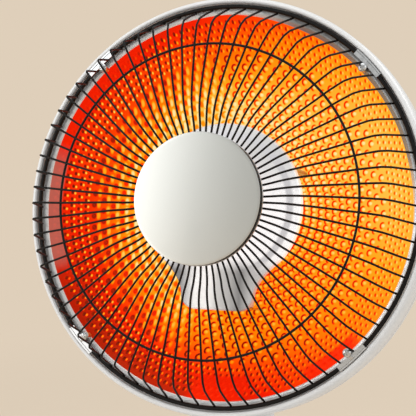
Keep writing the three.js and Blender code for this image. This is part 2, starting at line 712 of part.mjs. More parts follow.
function makeTerminalBlock() {
  const { width, depth, height } = TERMINAL_SIZE;
  const back = HOUSING_BACK - HOUSING_WALL - FIT_GAP;
  return block([-width / 2, width / 2], [back - depth, back], [-height / 2, height / 2]);
}

// ---------------------------------------------------------------- carrying handle
function makeCarryHandle() {
  const seat = HOUSING_BACK - HOUSING_WALL;
  const grip = HOUSING_BACK + HANDLE_CLEAR + HANDLE_GRIP;
  const at = (x, d) => new THREE.Vector3(x, d, HANDLE_HEIGHT);
  const path = new THREE.CurvePath();
  const bend = HANDLE_BEND;
  const corner = (side) => [at(side * HANDLE_SPAN, grip - bend), at(side * HANDLE_SPAN, grip)];
  path.add(new THREE.LineCurve3(at(-HANDLE_SPAN, seat - bend), at(-HANDLE_SPAN, grip - bend)));
  path.add(new THREE.QuadraticBezierCurve3(...corner(-1), at(-HANDLE_SPAN + bend, grip)));
  path.add(new THREE.LineCurve3(at(-HANDLE_SPAN + bend, grip), at(HANDLE_SPAN - bend, grip)));
  path.add(new THREE.QuadraticBezierCurve3(at(HANDLE_SPAN - bend, grip), ...corner(1).reverse()));
  path.add(new THREE.LineCurve3(at(HANDLE_SPAN, grip - bend), at(HANDLE_SPAN, seat - bend)));
  const section = new THREE.Shape(ringPoints(HANDLE_GRIP, 8));
  const options = { steps: 18, bevelEnabled: false, extrudePath: path };
  const bar = solidOf(new THREE.ExtrudeGeometry(section, options));
  return bar.subtract(housingOutside);
}

// ---------------------------------------------------------------- tilt joint
const earInner = BARREL_HALF_LENGTH + FIT_GAP;
const earOuter = earInner + EAR_THICKNESS;

// A rod along the tilt axis, which the head group has at this depth and height
const pivotDepth = PIVOT_DEPTH;
const pivotHeight = -PIVOT_DROP;
const rodOnTiltAxis = (radius, from, to, sides) =>
  rodAlongX(radius, from, to, sides, pivotDepth, pivotHeight);

function makeTiltBracket() {
  const half = BRACKET_PLATE_HALF_HEIGHT;
  const heights = [pivotHeight - half, pivotHeight + half];
  const window = block([-earOuter, earOuter], [0, HOUSING_BACK * 2], heights);
  const plate = layerOnHousing(FIT_GAP, BRACKET_PLATE).intersect(window);
  const rootDepth = dishDepthAt(PIVOT_DROP) + HOUSING_WALL;
  const profile = new THREE.Shape();
  profile.moveTo(rootDepth, pivotHeight - half);
  profile.lineTo(pivotDepth - EAR_RADIUS * 0.35, pivotHeight - EAR_RADIUS);
  profile.absarc(pivotDepth, pivotHeight, EAR_RADIUS, -Math.PI * 0.6, Math.PI * 0.5, false);
  profile.lineTo(rootDepth, pivotHeight + half);
  const ears = [-1, 1].map((side) => {
    const options = { depth: EAR_THICKNESS, bevelEnabled: false, curveSegments: 8 };
    const sheet = new THREE.ExtrudeGeometry(profile, options);
    // The profile is drawn in depth and height, so it is stood up across X
    const turn = new THREE.Matrix4().set(0, 0, 1, 0, 1, 0, 0, 0, 0, 1, 0, 0, 0, 0, 0, 1);
    sheet.applyMatrix4(turn);
    return solidOf(place(sheet, side > 0 ? earInner : -earOuter, 0, 0)).subtract(housingOutside);
  });
  const reach = earOuter + CUT_OVER;
  const hole = rodOnTiltAxis(TILT_BOLT_RADIUS + FIT_GAP, -reach, reach, SMALL_FACETS);
  return joined([plate, ...ears]).subtract(hole);
}

function makeTiltBolt() {
  const headStart = -earOuter - FIT_GAP;
  const headEnd = headStart - TILT_BOLT_HEAD;
  const tip = earOuter + TILT_BOLT_HEAD;
  const shank = rodOnTiltAxis(TILT_BOLT_RADIUS, headStart - CUT_OVER, tip, SMALL_FACETS);
  const head = rodOnTiltAxis(TILT_BOLT_HEAD_RADIUS, headEnd, headStart, ROUND_FACETS);
  return shank.add(head);
}

function makeTiltNut() {
  const start = earOuter + FIT_GAP;
  const end = start + TILT_BOLT_HEAD;
  const hole = rodOnTiltAxis(TILT_BOLT_RADIUS + FIT_GAP, start - CUT_OVER, end + CUT_OVER, SMALL_FACETS);
  const hexagon = rodOnTiltAxis(TILT_BOLT_HEAD_RADIUS, start, end, 6);
  return hexagon.subtract(hole);
}

// ---------------------------------------------------------------- neck
const bushTop = BASE_TOP + FIT_GAP + BUSH_FLANGE_HEIGHT;
const footBottom = bushTop + FIT_GAP;
const footTop = footBottom + FOOT_THICKNESS;
const neckBottom = footTop + FIT_GAP;
const neckTop = PIVOT_HEIGHT - NECK_TOP_CLEAR;

// The neck leaves the base upright and leans back towards the tilt axis
const neckRise = neckTop - neckBottom;
const neckLine = new THREE.CubicBezierCurve3(
  new THREE.Vector3(0, 0, neckBottom),
  new THREE.Vector3(0, 0, neckBottom + neckRise * NECK_RISE_SHARE),
  new THREE.Vector3(0, PIVOT_BACK * NECK_LEAN_SHARE, neckBottom + neckRise * NECK_LEAN_RISE_SHARE),
  new THREE.Vector3(0, PIVOT_BACK - NECK_TOP_CLEAR * 0.2, neckTop),
);

// A ring of points across the neck at a share of its length, from a section drawn square to its line
function neckRing(share, section) {
  const at = neckLine.getPoint(share);
  const along = neckLine.getTangent(share);
  const flat = share < 1e-6 ? new THREE.Vector3(0, 1, 0) : new THREE.Vector3(0, along.z, -along.y);
  return section.map((p) => at.clone().add(new THREE.Vector3(p.x, 0, 0)).addScaledVector(flat, p.y));
}

const neckHalfWidth = (share) => NECK_FOOT_HALF_WIDTH + (NECK_TOP_HALF_WIDTH - NECK_FOOT_HALF_WIDTH) * share;
const neckHalfDepth = (share) => NECK_FOOT_HALF_DEPTH + (NECK_TOP_HALF_DEPTH - NECK_FOOT_HALF_DEPTH) * share;

// Half an oval wall: side is -1 for the front shell and 1 for the rear one
function neckShellSection(share, side) {
  const outer = [];
  const inner = [];
  for (let i = 0; i <= NECK_ARC_STEPS; i += 1) {
    const turn = (i / NECK_ARC_STEPS) * Math.PI;
    const x = Math.cos(turn);
    const y = Math.sin(turn);
    const seam = FIT_GAP / 2;
    const swell = side * (seam + (neckHalfDepth(share) - seam) * y);
    outer.push(new THREE.Vector2(neckHalfWidth(share) * x, swell));
    const width = neckHalfWidth(share) - NECK_WALL;
    const depth = neckHalfDepth(share) - NECK_WALL;
    inner.push(new THREE.Vector2(width * x, side * (seam + (depth - seam) * y)));
  }
  return [...outer, ...inner.reverse()];
}

function makeNeckShell(side) {
  const rings = [];
  for (let i = 0; i < NECK_STATIONS; i += 1) {
    const share = i / (NECK_STATIONS - 1);
    rings.push(neckRing(share, neckShellSection(share, side)));
  }
  return loft(rings, neckShellSection(0, side));
}

// A core that fills the inside of the neck between one station and the next
function neckCore(station) {
  const section = (share) =>
    ringPoints(1, 2 * NECK_ARC_STEPS).map(
      (p) =>
        new THREE.Vector2(
          p.x * (neckHalfWidth(share) - NECK_WALL - FIT_GAP),
          p.y * (neckHalfDepth(share) - NECK_WALL - FIT_GAP),
        ),
    );
  const shares = [station, station + 1].map((i) => i / (NECK_STATIONS - 1));
  const rings = shares.map((share) => neckRing(share, section(share)));
  return { rings, endShape: section(shares[0]) };
}

function makeTiltBarrel() {
  const core = neckCore(NECK_STATIONS - 2);
  const stem = loft(core.rings, core.endShape);
  const half = BARREL_HALF_LENGTH;
  const barrel = rodAlongX(BARREL_RADIUS, -half, half, LARGE_FACETS, PIVOT_BACK, PIVOT_HEIGHT);
  const throat = block(
    [-THROAT_HALF_WIDTH, THROAT_HALF_WIDTH],
    [PIVOT_BACK - THROAT_FRONT, PIVOT_BACK + THROAT_BACK],
    [neckTop - NECK_WALL, PIVOT_HEIGHT],
  );
  const reach = half + CUT_OVER;
  const hole = rodAlongX(TILT_BOLT_RADIUS + RUN_GAP, -reach, reach, ROUND_FACETS, PIVOT_BACK, PIVOT_HEIGHT);
  return joined([stem, throat, barrel]).subtract(hole);
}

function makeNeckFoot() {
  const profile = [
    [0, footBottom],
    [FOOT_RADIUS - FOOT_BOTTOM_CHAMFER, footBottom],
    [FOOT_RADIUS, footBottom + FOOT_BOTTOM_CHAMFER],
    [FOOT_RADIUS, footTop - FOOT_TOP_CHAMFER],
    [FOOT_RADIUS - FOOT_TOP_CHAMFER, footTop],
    [0, footTop],
  ];
  const disc = turnedRoundZ(profile, LARGE_FACETS);
  const core = neckCore(0);
  const root = core.rings[0].map((p) => p.clone().setZ(footTop - FIT_GAP));
  const boss = loft([root, ...core.rings], core.endShape);
  const bore = rodAlongZ(SHAFT_RADIUS + FIT_GAP, footBottom - CUT_OVER, footTop * 2, ROUND_FACETS);
  return disc.add(boss).subtract(bore);
}

// ---------------------------------------------------------------- swing shaft and its drive
const bushBottom = bushTop - BUSH_LENGTH - BUSH_FLANGE_HEIGHT;
const leverTop = bushBottom - CRANK_SLOT_PLAY;
const leverBottom = leverTop - LEVER_THICKNESS;
const collarTop = leverBottom - FIT_GAP;
const crankTop = collarTop - SHAFT_COLLAR_HEIGHT - CRANK_SLOT_PLAY;
const crankBottom = crankTop - CRANK_THICKNESS;
const motorTop = crankBottom - FIT_GAP;
const plateBottom = FOOT_PAD_HEIGHT + FIT_GAP;
const plateTop = plateBottom + PLATE_THICKNESS;
const insideFloor = plateTop + FIT_GAP;

function makeSwingShaft() {
  const top = footTop;
  const profile = [
    [SHAFT_BORE, collarTop - SHAFT_COLLAR_HEIGHT],
    [SHAFT_COLLAR, collarTop - SHAFT_COLLAR_HEIGHT],
    [SHAFT_COLLAR, collarTop],
    [SHAFT_RADIUS, collarTop],
    [SHAFT_RADIUS, top],
    [SHAFT_BORE, top],
  ];
  return turnedRoundZ(closed(profile), ROUND_FACETS);
}

function makeSwivelBush() {
  const inner = SHAFT_RADIUS + RUN_GAP;
  const profile = [
    [inner, bushBottom],
    [inner + BUSH_WALL, bushBottom],
    [inner + BUSH_WALL, bushTop - BUSH_FLANGE_HEIGHT],
    [BUSH_FLANGE_RADIUS, bushTop - BUSH_FLANGE_HEIGHT],
    [BUSH_FLANGE_RADIUS, bushTop],
    [inner, bushTop],
  ];
  return turnedRoundZ(closed(profile), ROUND_FACETS);
}

function slotShape(half, from, to) {
  const shape = new THREE.Shape();
  shape.absarc(0, to, half, 0, Math.PI, false);
  shape.absarc(0, from, half, Math.PI, Math.PI * 2, false);
  return shape;
}

function makeSwingLever() {
  const slotHalf = CRANK_PIN_RADIUS + CRANK_SLOT_PLAY;
  const nearest = Math.hypot(CRANK_OFFSET, CRANK_THROW) - CRANK_SLOT_PLAY;
  const farthest = CRANK_OFFSET + CRANK_THROW + CRANK_SLOT_PLAY;
  const arm = plateInBase(slotShape(LEVER_HALF_WIDTH, 0, farthest), leverBottom, leverTop, 4);
  const hub = rodAlongZ(LEVER_HUB_RADIUS, leverBottom, leverTop, ROUND_FACETS);
  const cutBottom = leverBottom - CUT_OVER;
  const cutTop = leverTop + CUT_OVER;
  const slot = plateInBase(slotShape(slotHalf, nearest, farthest), cutBottom, cutTop, 5);
  const bore = rodAlongZ(SHAFT_RADIUS + FIT_GAP, cutBottom, cutTop, ROUND_FACETS);
  return arm.add(hub).subtract(slot).subtract(bore);
}

const socketTop = crankTop - CRANK_THICKNESS / 3;

function makeCrank() {
  const disc = rodAlongZ(CRANK_THROW + CRANK_EDGE, crankBottom, crankTop, LARGE_FACETS, 0, CRANK_OFFSET);
  const pinTop = leverTop + CRANK_SLOT_PLAY / 2;
  const pinBack = CRANK_OFFSET + CRANK_THROW;
  const pin = rodAlongZ(CRANK_PIN_RADIUS, socketTop, pinTop, SMALL_FACETS, 0, pinBack);
  const bore = MOTOR_SHAFT_RADIUS + FIT_GAP;
  const socket = rodAlongZ(bore, crankBottom - CUT_OVER, socketTop, SMALL_FACETS, 0, CRANK_OFFSET);
  return disc.add(pin).subtract(socket);
}

function makeMotor() {
  const can = rodAlongZ(MOTOR_RADIUS, insideFloor, motorTop, LARGE_FACETS, 0, CRANK_OFFSET);
  const shaftTop = socketTop - FIT_GAP;
  const shaft = rodAlongZ(MOTOR_SHAFT_RADIUS, insideFloor, shaftTop, SMALL_FACETS, 0, CRANK_OFFSET);
  return can.add(shaft);
}

// ---------------------------------------------------------------- base
const bossAngles = [30, 150, 210, 330];
const padAngles = [45, 135, 225, 315];
const topSlope = Math.atan2(BASE_TOP - BASE_SHOULDER, BASE_SHOULDER_RADIUS - BASE_TOP_RADIUS);
const topHeightAt = (r) => BASE_TOP - (r - BASE_TOP_RADIUS) * Math.tan(topSlope);
const controlAngles = { lamp: -CONTROL_SPREAD, knob: 0, button: CONTROL_SPREAD };

// A control stands square to the sloping top; angle is measured round the base from the front
function onSlope(solid, angle) {
  return solid
    .rotate([(topSlope * 180) / Math.PI, 0, 0])
    .translate([0, -CONTROL_RADIUS, topHeightAt(CONTROL_RADIUS)])
    .rotate([0, 0, angle]);
}

function baseFace(inset) {
  const radius = BASE_RADIUS - inset;
  return [
    [BASE_TOP_RADIUS - inset * 0.2, BASE_TOP - inset],
    [BASE_SHOULDER_RADIUS - inset * 0.4, BASE_SHOULDER - inset],
    [(BASE_SHOULDER_RADIUS + 2 * BASE_RADIUS) / 3 - inset * 0.8, BASE_SHOULDER * 0.86 - inset * 0.7],
    [radius, BASE_SHOULDER * 0.6],
    [radius, FOOT_PAD_HEIGHT],
  ];
}

function makeBaseShell() {
  const bushSeat = SHAFT_RADIUS + RUN_GAP + BUSH_WALL + FIT_GAP;
  const outer = [[bushSeat, BASE_TOP], ...baseFace(0)];
  const inner = [...baseFace(BASE_WALL).reverse(), [bushSeat, BASE_TOP - BASE_WALL]];
  let shell = turnedRoundZ(closed([...outer, ...inner]));
  for (const angle of bossAngles) {
    const at = polar(BASE_BOSS_PITCH_RADIUS, angle);
    const top = topHeightAt(BASE_BOSS_PITCH_RADIUS) - BASE_WALL / 2;
    const boss = rodAlongZ(BASE_BOSS_RADIUS, insideFloor, top, FASTENER_SIDES, at.x, at.z);
    const pilot = rodAlongZ(SCREW_RADIUS + FIT_GAP, 0, BASE_TOP / 2, FASTENER_SIDES, at.x, at.z);
    shell = shell.add(boss).subtract(pilot);
  }
  const hole = (radius) => rodAlongZ(radius, -BASE_WALL * 2, BASE_WALL, ROUND_FACETS);
  const cuts = [
    onSlope(hole(SPINDLE_RADIUS + RUN_GAP), controlAngles.knob),
    onSlope(hole(BUTTON_RADIUS + RUN_GAP), controlAngles.button),
    onSlope(hole(LAMP_RADIUS + FIT_GAP), controlAngles.lamp),
    glandSeat(),
  ];
  return cuts.reduce((all, cut) => all.subtract(cut), shell);
}

// The flat and the hole at the back of the base that take the cord gland
const glandFlat = BASE_RADIUS - GLAND_FLANGE - FIT_GAP;

function glandSeat() {
  const outside = BASE_RADIUS + CUT_OVER;
  const inside = BASE_RADIUS - 2 * GLAND_LENGTH;
  const flat = rodAlongY(GLAND_RADIUS + FIT_GAP, glandFlat, outside, ROUND_FACETS, 0, GLAND_HEIGHT);
  const hole = rodAlongY(glandNeck + FIT_GAP, inside, outside, ROUND_FACETS, 0, GLAND_HEIGHT);
  return flat.add(hole);
}

const glandNeck = GLAND_BORE + BASE_WALL * 0.8;

function makeCordGland() {
  const seat = glandFlat + FIT_GAP;
  const profile = [
    [GLAND_BORE, seat + GLAND_FLANGE],
    [GLAND_RADIUS - GLAND_FLANGE / 2, seat + GLAND_FLANGE],
    [GLAND_RADIUS, seat + GLAND_FLANGE / 2],
    [GLAND_RADIUS, seat],
    [glandNeck, seat],
    [glandNeck, seat - GLAND_LENGTH],
    [GLAND_BORE, seat - GLAND_LENGTH],
  ];
  return turnedRoundY(closed(profile), SMALL_FACETS).translate([0, 0, GLAND_HEIGHT]);
}

function makeBasePlate() {
  const radius = BASE_RADIUS - BASE_WALL - FIT_GAP;
  let plate = rodAlongZ(radius, plateBottom, plateTop, BASE_FACETS);
  for (const angle of bossAngles) {
    const at = polar(BASE_BOSS_PITCH_RADIUS, angle);
    plate = plate.subtract(rodAlongZ(SCREW_RADIUS + FIT_GAP, 0, plateTop * 2, FASTENER_SIDES, at.x, at.z));
  }
  const plungerHole = TIP_PLUNGER_RADIUS + RUN_GAP;
  return plate.subtract(rodAlongZ(plungerHole, 0, plateTop * 2, ROUND_FACETS, TIP_PLACE.x, TIP_PLACE.y));
}

function makeCounterweight() {
  const top = insideFloor + COUNTERWEIGHT_HEIGHT;
  const profile = [
    [COUNTERWEIGHT_INNER, insideFloor],
    [COUNTERWEIGHT_OUTER, insideFloor],
    [COUNTERWEIGHT_OUTER, top],
    [COUNTERWEIGHT_INNER, top],
  ];
  return turnedRoundZ(closed(profile), BASE_FACETS);
}

function makeBaseScrew(angle) {
  const at = polar(BASE_BOSS_PITCH_RADIUS, angle);
  const seat = plateBottom - FIT_GAP;
  const screw = screwAlongY(-seat, -BASE_TOP * 0.36).rotate([-90, 0, 0]);
  return screw.translate([at.x, at.z, 0]);
}

function makeFootPad(angle) {
  const at = polar(FOOT_PAD_PITCH_RADIUS, angle);
  const profile = [
    [0, 0],
    [FOOT_PAD_RADIUS - FOOT_PAD_HEIGHT / 3, 0],
    [FOOT_PAD_RADIUS, FOOT_PAD_HEIGHT / 3],
    [FOOT_PAD_RADIUS, FOOT_PAD_HEIGHT],
    [0, FOOT_PAD_HEIGHT],
  ];
  return turnedRoundZ(profile, SMALL_FACETS).translate([at.x, at.z, 0]);
}

// ---------------------------------------------------------------- controls
const underShell = -BASE_WALL / Math.cos(topSlope) - FIT_GAP;

function makeRotarySwitch() {
  const half = SWITCH_SIZE / 2;
  const body = block([-half, half], [-half, half], [underShell - SWITCH_HEIGHT, underShell - FIT_GAP]);
  const socketFloor = underShell - SPINDLE_REACH / 2 - FIT_GAP;
  const socket = rodAlongZ(SPINDLE_RADIUS + RUN_GAP, socketFloor, 0, ROUND_FACETS);
  return onSlope(body.subtract(socket), controlAngles.knob);
}

function makeSwitchSpindle() {
  const rod = rodAlongZ(SPINDLE_RADIUS, underShell - SPINDLE_REACH / 2, SPINDLE_REACH, SMALL_FACETS);
  return onSlope(rod, controlAngles.knob);
}

function makePowerKnob() {
  const profile = [
    [0, FIT_GAP * 2],
    [KNOB_RADIUS, FIT_GAP * 2],
    [KNOB_RADIUS, KNOB_SKIRT],
    [KNOB_RADIUS - KNOB_CHAMFER, KNOB_SKIRT + KNOB_CHAMFER],
    [0, KNOB_SKIRT + KNOB_CHAMFER],
  ];
  const skirt = turnedRoundZ(profile, LARGE_FACETS);
  const reach = KNOB_RADIUS - KNOB_GRIP_HALF_WIDTH - KNOB_CHAMFER;
  const grip = plateInBase(slotShape(KNOB_GRIP_HALF_WIDTH, -reach, reach), KNOB_SKIRT, KNOB_HEIGHT, 6);
  const socket = rodAlongZ(SPINDLE_RADIUS + FIT_GAP, 0, SPINDLE_REACH + FIT_GAP, SMALL_FACETS);
  return onSlope(skirt.add(grip).subtract(socket), controlAngles.knob);
}

function makeIndicatorLamp() {
  const profile = [
    [0, -BASE_WALL * 2],
    [LAMP_RADIUS, -BASE_WALL * 2],
    [LAMP_RADIUS, LAMP_RISE * 0.4],
    [LAMP_RADIUS * 0.6, LAMP_RISE],
    [0, LAMP_RISE],
  ];
  return onSlope(turnedRoundZ(profile, SMALL_FACETS), controlAngles.lamp);
}

const buttonFlangeTop = underShell - FIT_GAP;
const buttonFlangeBottom = buttonFlangeTop - BUTTON_FLANGE;
const buttonSwitchFloor = buttonFlangeBottom - BUTTON_TRAVEL - RUN_GAP;

function makeOscillationButton() {
  const stemRadius = BUTTON_RADIUS / 2;
  const profile = [
    [0, buttonSwitchFloor - BUTTON_TRAVEL],
    [stemRadius, buttonSwitchFloor - BUTTON_TRAVEL],
    [stemRadius, buttonFlangeBottom],
    [BUTTON_RADIUS + BUTTON_FLANGE, buttonFlangeBottom],
    [BUTTON_RADIUS + BUTTON_FLANGE, buttonFlangeTop],
    [BUTTON_RADIUS, buttonFlangeTop],
    [BUTTON_RADIUS, BUTTON_RISE - BUTTON_EDGE],
    [BUTTON_RADIUS - BUTTON_EDGE, BUTTON_RISE],
    [0, BUTTON_RISE],
  ];
  return onSlope(turnedRoundZ(profile, ROUND_FACETS), controlAngles.button);
}

function makeOscillationSwitch() {
  const half = BUTTON_SWITCH_SIZE / 2;
  const bottom = buttonSwitchFloor - BUTTON_TRAVEL * 2 - BUTTON_SWITCH_HEIGHT / 4;
  const body = block([-half, half], [-half, half], [bottom, underShell - FIT_GAP]);
  const well = rodAlongZ(BUTTON_RADIUS + BUTTON_FLANGE + RUN_GAP, buttonSwitchFloor, 0, ROUND_FACETS);
  const stemWell = buttonSwitchFloor - BUTTON_TRAVEL * 2 - RUN_GAP;
  const bore = rodAlongZ(BUTTON_RADIUS / 2 + RUN_GAP, stemWell, 0, ROUND_FACETS);
  return onSlope(body.subtract(well).subtract(bore), controlAngles.button);
}

// ---------------------------------------------------------------- tip-over switch
const tipWellFloor = insideFloor + TIP_BODY_FLOOR;
const tipShoulderBottom = tipWellFloor + TIP_TRAVEL + RUN_GAP;

function makeTipSwitch() {
  const half = TIP_BODY_SIZE / 2;
  const body = block([-half, half], [-half, half], [insideFloor, insideFloor + TIP_BODY_HEIGHT]);
  const wellRadius = TIP_PLUNGER_RADIUS + TIP_SHOULDER + RUN_GAP;
  const well = rodAlongZ(wellRadius, tipWellFloor, tipShoulderBottom + TIP_SHOULDER + RUN_GAP, ROUND_FACETS);
  const throat = rodAlongZ(TIP_PLUNGER_RADIUS + RUN_GAP, 0, tipShoulderBottom, ROUND_FACETS);
  return body.subtract(well).subtract(throat).translate([TIP_PLACE.x, TIP_PLACE.y, 0]);
}

function makeTipPlunger() {
  const profile = [
    [0, 0],
    [TIP_PLUNGER_RADIUS - 1, 0],
    [TIP_PLUNGER_RADIUS, 1],
    [TIP_PLUNGER_RADIUS, tipShoulderBottom],
    [TIP_PLUNGER_RADIUS + TIP_SHOULDER, tipShoulderBottom],
    [TIP_PLUNGER_RADIUS + TIP_SHOULDER, tipShoulderBottom + TIP_SHOULDER],
    [0, tipShoulderBottom + TIP_SHOULDER],
  ];
  return turnedRoundZ(profile, ROUND_FACETS).translate([TIP_PLACE.x, TIP_PLACE.y, 0]);
}

// ---------------------------------------------------------------- assembly
const heater = new THREE.Group();
const tiltGroup = new THREE.Group();
const headGroup = new THREE.Group();
tiltGroup.position.set(0, PIVOT_BACK, PIVOT_HEIGHT);
tiltGroup.rotation.x = -radians(REST_TILT);
headGroup.position.set(0, -PIVOT_DEPTH, PIVOT_DROP);
tiltGroup.add(headGroup);
heater.add(tiltGroup);

headGroup.add(
  named("front_bezel", makeBezel(), whitePlastic),
  named("rear_housing", makeRearHousing(), whitePlastic),
  named("reflector_dish", makeReflector(), brightAluminium),
  named("heat_shade", makeHeatShade(), brightAluminium),
  named("shade_post_right", makeShadePost(1), zincSteel),
  named("shade_post_left", makeShadePost(-1), zincSteel),
  named("element_bracket", makeElementBracket(), zincSteel),
  named("tube_holder_right", makeTubeHolder(1), ceramic),
  named("tube_holder_left", makeTubeHolder(-1), ceramic),
  named("quartz_tube", makeQuartzTube(), quartz),
  named("heating_coil", makeHeatingCoil(), heatingAlloy),
  named("wire_guard", makeWireGuard(), blackWire),
  named("guard_middle_ring", makeMiddleRing(), blackWire),
  named("guard_hub_ring", makeHubRing(), blackWire),
  named("centre_cap", makeCentreCap(), satinAluminium),
  named("cap_clamp_plate", makeClampPlate(), zincSteel),
  named("cap_screw", makeCapScrew(), zincSteel),
  named("thermal_cutout", makeThermalCutout(), zincSteel),
  named("terminal_block", makeTerminalBlock(), phenolic),
  named("carry_handle", makeCarryHandle(), greyPlastic),
  named("tilt_bracket", makeTiltBracket(), greyPlastic),
  named("tilt_bolt", makeTiltBolt(), zincSteel),
  named("tilt_nut", makeTiltNut(), zincSteel),
);
guardScrewAngles.forEach((angle, i) => {
  headGroup.add(named(`guard_clip_${i + 1}`, makeGuardClip(angle), zincSteel));
  headGroup.add(named(`guard_screw_${i + 1}`, makeGuardScrew(angle), zincSteel));
});

heater.add(
  named("neck_front_shell", makeNeckShell(-1), whitePlastic),
  named("neck_rear_shell", makeNeckShell(1), whitePlastic),
  named("tilt_barrel", makeTiltBarrel(), greyPlastic),
  named("neck_foot", makeNeckFoot(), whitePlastic),
  named("swing_shaft", makeSwingShaft(), zincSteel),
  named("swing_lever", makeSwingLever(), zincSteel),
  named("swivel_bush", makeSwivelBush(), greyPlastic),
  named("crank_disc", makeCrank(), greyPlastic),
  named("oscillation_motor", makeMotor(), zincSteel),
  named("base_shell", makeBaseShell(), whitePlastic),
  named("base_plate", makeBasePlate(), zincSteel),
  named("counterweight", makeCounterweight(), castIron),
  named("cord_gland", makeCordGland(), rubber),
  named("rotary_switch", makeRotarySwitch(), phenolic),
  named("switch_spindle", makeSwitchSpindle(), zincSteel),
  named("power_knob", makePowerKnob(), greyPlastic),
  named("indicator_lamp", makeIndicatorLamp(), lampLens),
  named("oscillation_button", makeOscillationButton(), greyPlastic),
  named("oscillation_switch", makeOscillationSwitch(), phenolic),
  named("tip_switch", makeTipSwitch(), phenolic),
  named("tip_plunger", makeTipPlunger(), greyPlastic),
);
bossAngles.forEach((angle, i) => {
  heater.add(named(`base_screw_${i + 1}`, makeBaseScrew(angle), zincSteel));
});
padAngles.forEach((angle, i) => {
  heater.add(named(`foot_pad_${i + 1}`, makeFootPad(angle), rubber));
});

export default heater;
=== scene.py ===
import json
import math

import bmesh
import bpy
from mathutils import Matrix, Vector


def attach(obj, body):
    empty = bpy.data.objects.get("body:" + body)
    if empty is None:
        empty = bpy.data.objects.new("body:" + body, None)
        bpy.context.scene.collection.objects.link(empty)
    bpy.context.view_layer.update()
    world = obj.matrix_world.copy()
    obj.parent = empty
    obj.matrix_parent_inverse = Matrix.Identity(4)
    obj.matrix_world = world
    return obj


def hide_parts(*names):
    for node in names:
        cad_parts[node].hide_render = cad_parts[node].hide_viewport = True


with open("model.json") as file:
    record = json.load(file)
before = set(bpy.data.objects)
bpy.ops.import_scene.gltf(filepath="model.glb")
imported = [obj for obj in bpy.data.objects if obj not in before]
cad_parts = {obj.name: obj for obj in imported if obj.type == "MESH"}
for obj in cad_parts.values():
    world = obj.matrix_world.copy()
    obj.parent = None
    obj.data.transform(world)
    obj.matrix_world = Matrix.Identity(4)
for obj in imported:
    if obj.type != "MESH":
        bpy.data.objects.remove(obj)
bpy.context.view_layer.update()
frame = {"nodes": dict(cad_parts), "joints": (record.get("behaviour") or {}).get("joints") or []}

# ---- The camera of the photograph.
# It stands 1.18 m from the guard's outer ring, turned 20.7 degrees to the heater's right and looking
# 5 degrees down. The head leans back 10 degrees on its pivot, and its own frame is HEAD.
# Sizes in this file are in mm where nothing else is said.
MM = 0.001
HEAD_LEAN = 10                         # degrees
RING_FROM_PIVOT = (0, -0.108, 0.095)   # middle of the guard's ring in the leaning head, metres
EYE_AZIMUTH = math.radians(20.65)
EYE_ELEVATION = math.radians(5.0)
EYE_DISTANCE = 1.1751                  # metres
AIM_RIGHT = -0.0107                    # how far the picture's middle lies off the ring's middle, metres
AIM_UP = -0.0021
PHOTO_SIDE = 416                       # pixels
FOCAL_LENGTH = 1500                    # pixels
SENSOR = 36                            # mm

pivot = Vector(next(j for j in frame["joints"] if j["name"] == "head_tilt")["pos_m"])
HEAD = (Matrix.Translation(pivot) @ Matrix.Rotation(math.radians(-HEAD_LEAN), 4, "X")
        @ Matrix.Translation(RING_FROM_PIVOT))
back = Vector((math.sin(EYE_AZIMUTH) * math.cos(EYE_ELEVATION),
               -math.cos(EYE_AZIMUTH) * math.cos(EYE_ELEVATION), math.sin(EYE_ELEVATION)))
right = Vector((math.cos(EYE_AZIMUTH), math.sin(EYE_AZIMUTH), 0))
up = back.cross(right)
place = HEAD.translation + EYE_DISTANCE * back + AIM_RIGHT * right + AIM_UP * up
lens = bpy.data.cameras.new("photo_lens")
lens.sensor_width = SENSOR
lens.lens = SENSOR * FOCAL_LENGTH / PHOTO_SIDE
camera = bpy.data.objects.new("photo_camera", lens)
camera.matrix_world = Matrix.Translation(place) @ Matrix((right, up, back)).transposed().to_4x4()
bpy.context.scene.collection.objects.link(camera)
bpy.context.scene.camera = camera
bpy.context.scene.view_settings.view_transform = "Standard"

# ---- The studio: a plain beige table that curves up into a round backdrop, and soft lamps.
# The far part of it shows its own even colour, to the lens and in metal, as the photograph's plain
# ground does, and the near part takes the heater's soft shadow.


def linear(hex_code):
    """The linear colour of an sRGB hex value."""
    channels = [int(hex_code[i:i + 2], 16) / 255 for i in (1, 3, 5)]
    return [c / 12.92 if c <= 0.04045 else ((c + 0.055) / 1.055) ** 2.4 for c in channels] + [1.0]


def new_finish(name):
    """An empty material, named for the finish that it gives."""
    material = bpy.data.materials.new(name)
    material.use_nodes = True
    material.node_tree.nodes.clear()
    return material


def add_node(owner, kind, settings={}, inputs={}):
    """Adds a shader node to a material or world, sets it, and links or fills its inputs."""
    node = owner.node_tree.nodes.new("ShaderNode" + kind)
    for name, value in settings.items():
        setattr(node, name, value)
    for key, value in inputs.items():
        if isinstance(value, bpy.types.Node):
            value = value.outputs[0]
        if isinstance(value, bpy.types.NodeSocket):
            owner.node_tree.links.new(value, node.inputs[key])
        else:
            node.inputs[key].default_value = value
    return node


def turn_profile(shape, profile, steps, place=Matrix(), ring=True):
    """Turns an outline of (radius, height) in mm round the local Z axis of place."""
    old = set(shape.verts)
    corners = [shape.verts.new((radius * MM, 0, height * MM)) for radius, height in profile]
    edges = [shape.edges.new(pair) for pair in zip(corners, corners[1:])]
    if ring:
        edges.append(shape.edges.new((corners[-1], corners[0])))
    bmesh.ops.spin(shape, geom=corners + edges, axis=(0, 0, 1), cent=(0, 0, 0), angle=math.tau,
                   steps=steps, use_merge=True)
    made = [v for v in shape.verts if v not in old]
    bmesh.ops.transform(shape, matrix=place, verts=made)
    return made


SHARP_EDGE = 32    # degrees, from which the shading breaks
DOUBLES = 2e-6     # metres, within which corners are one


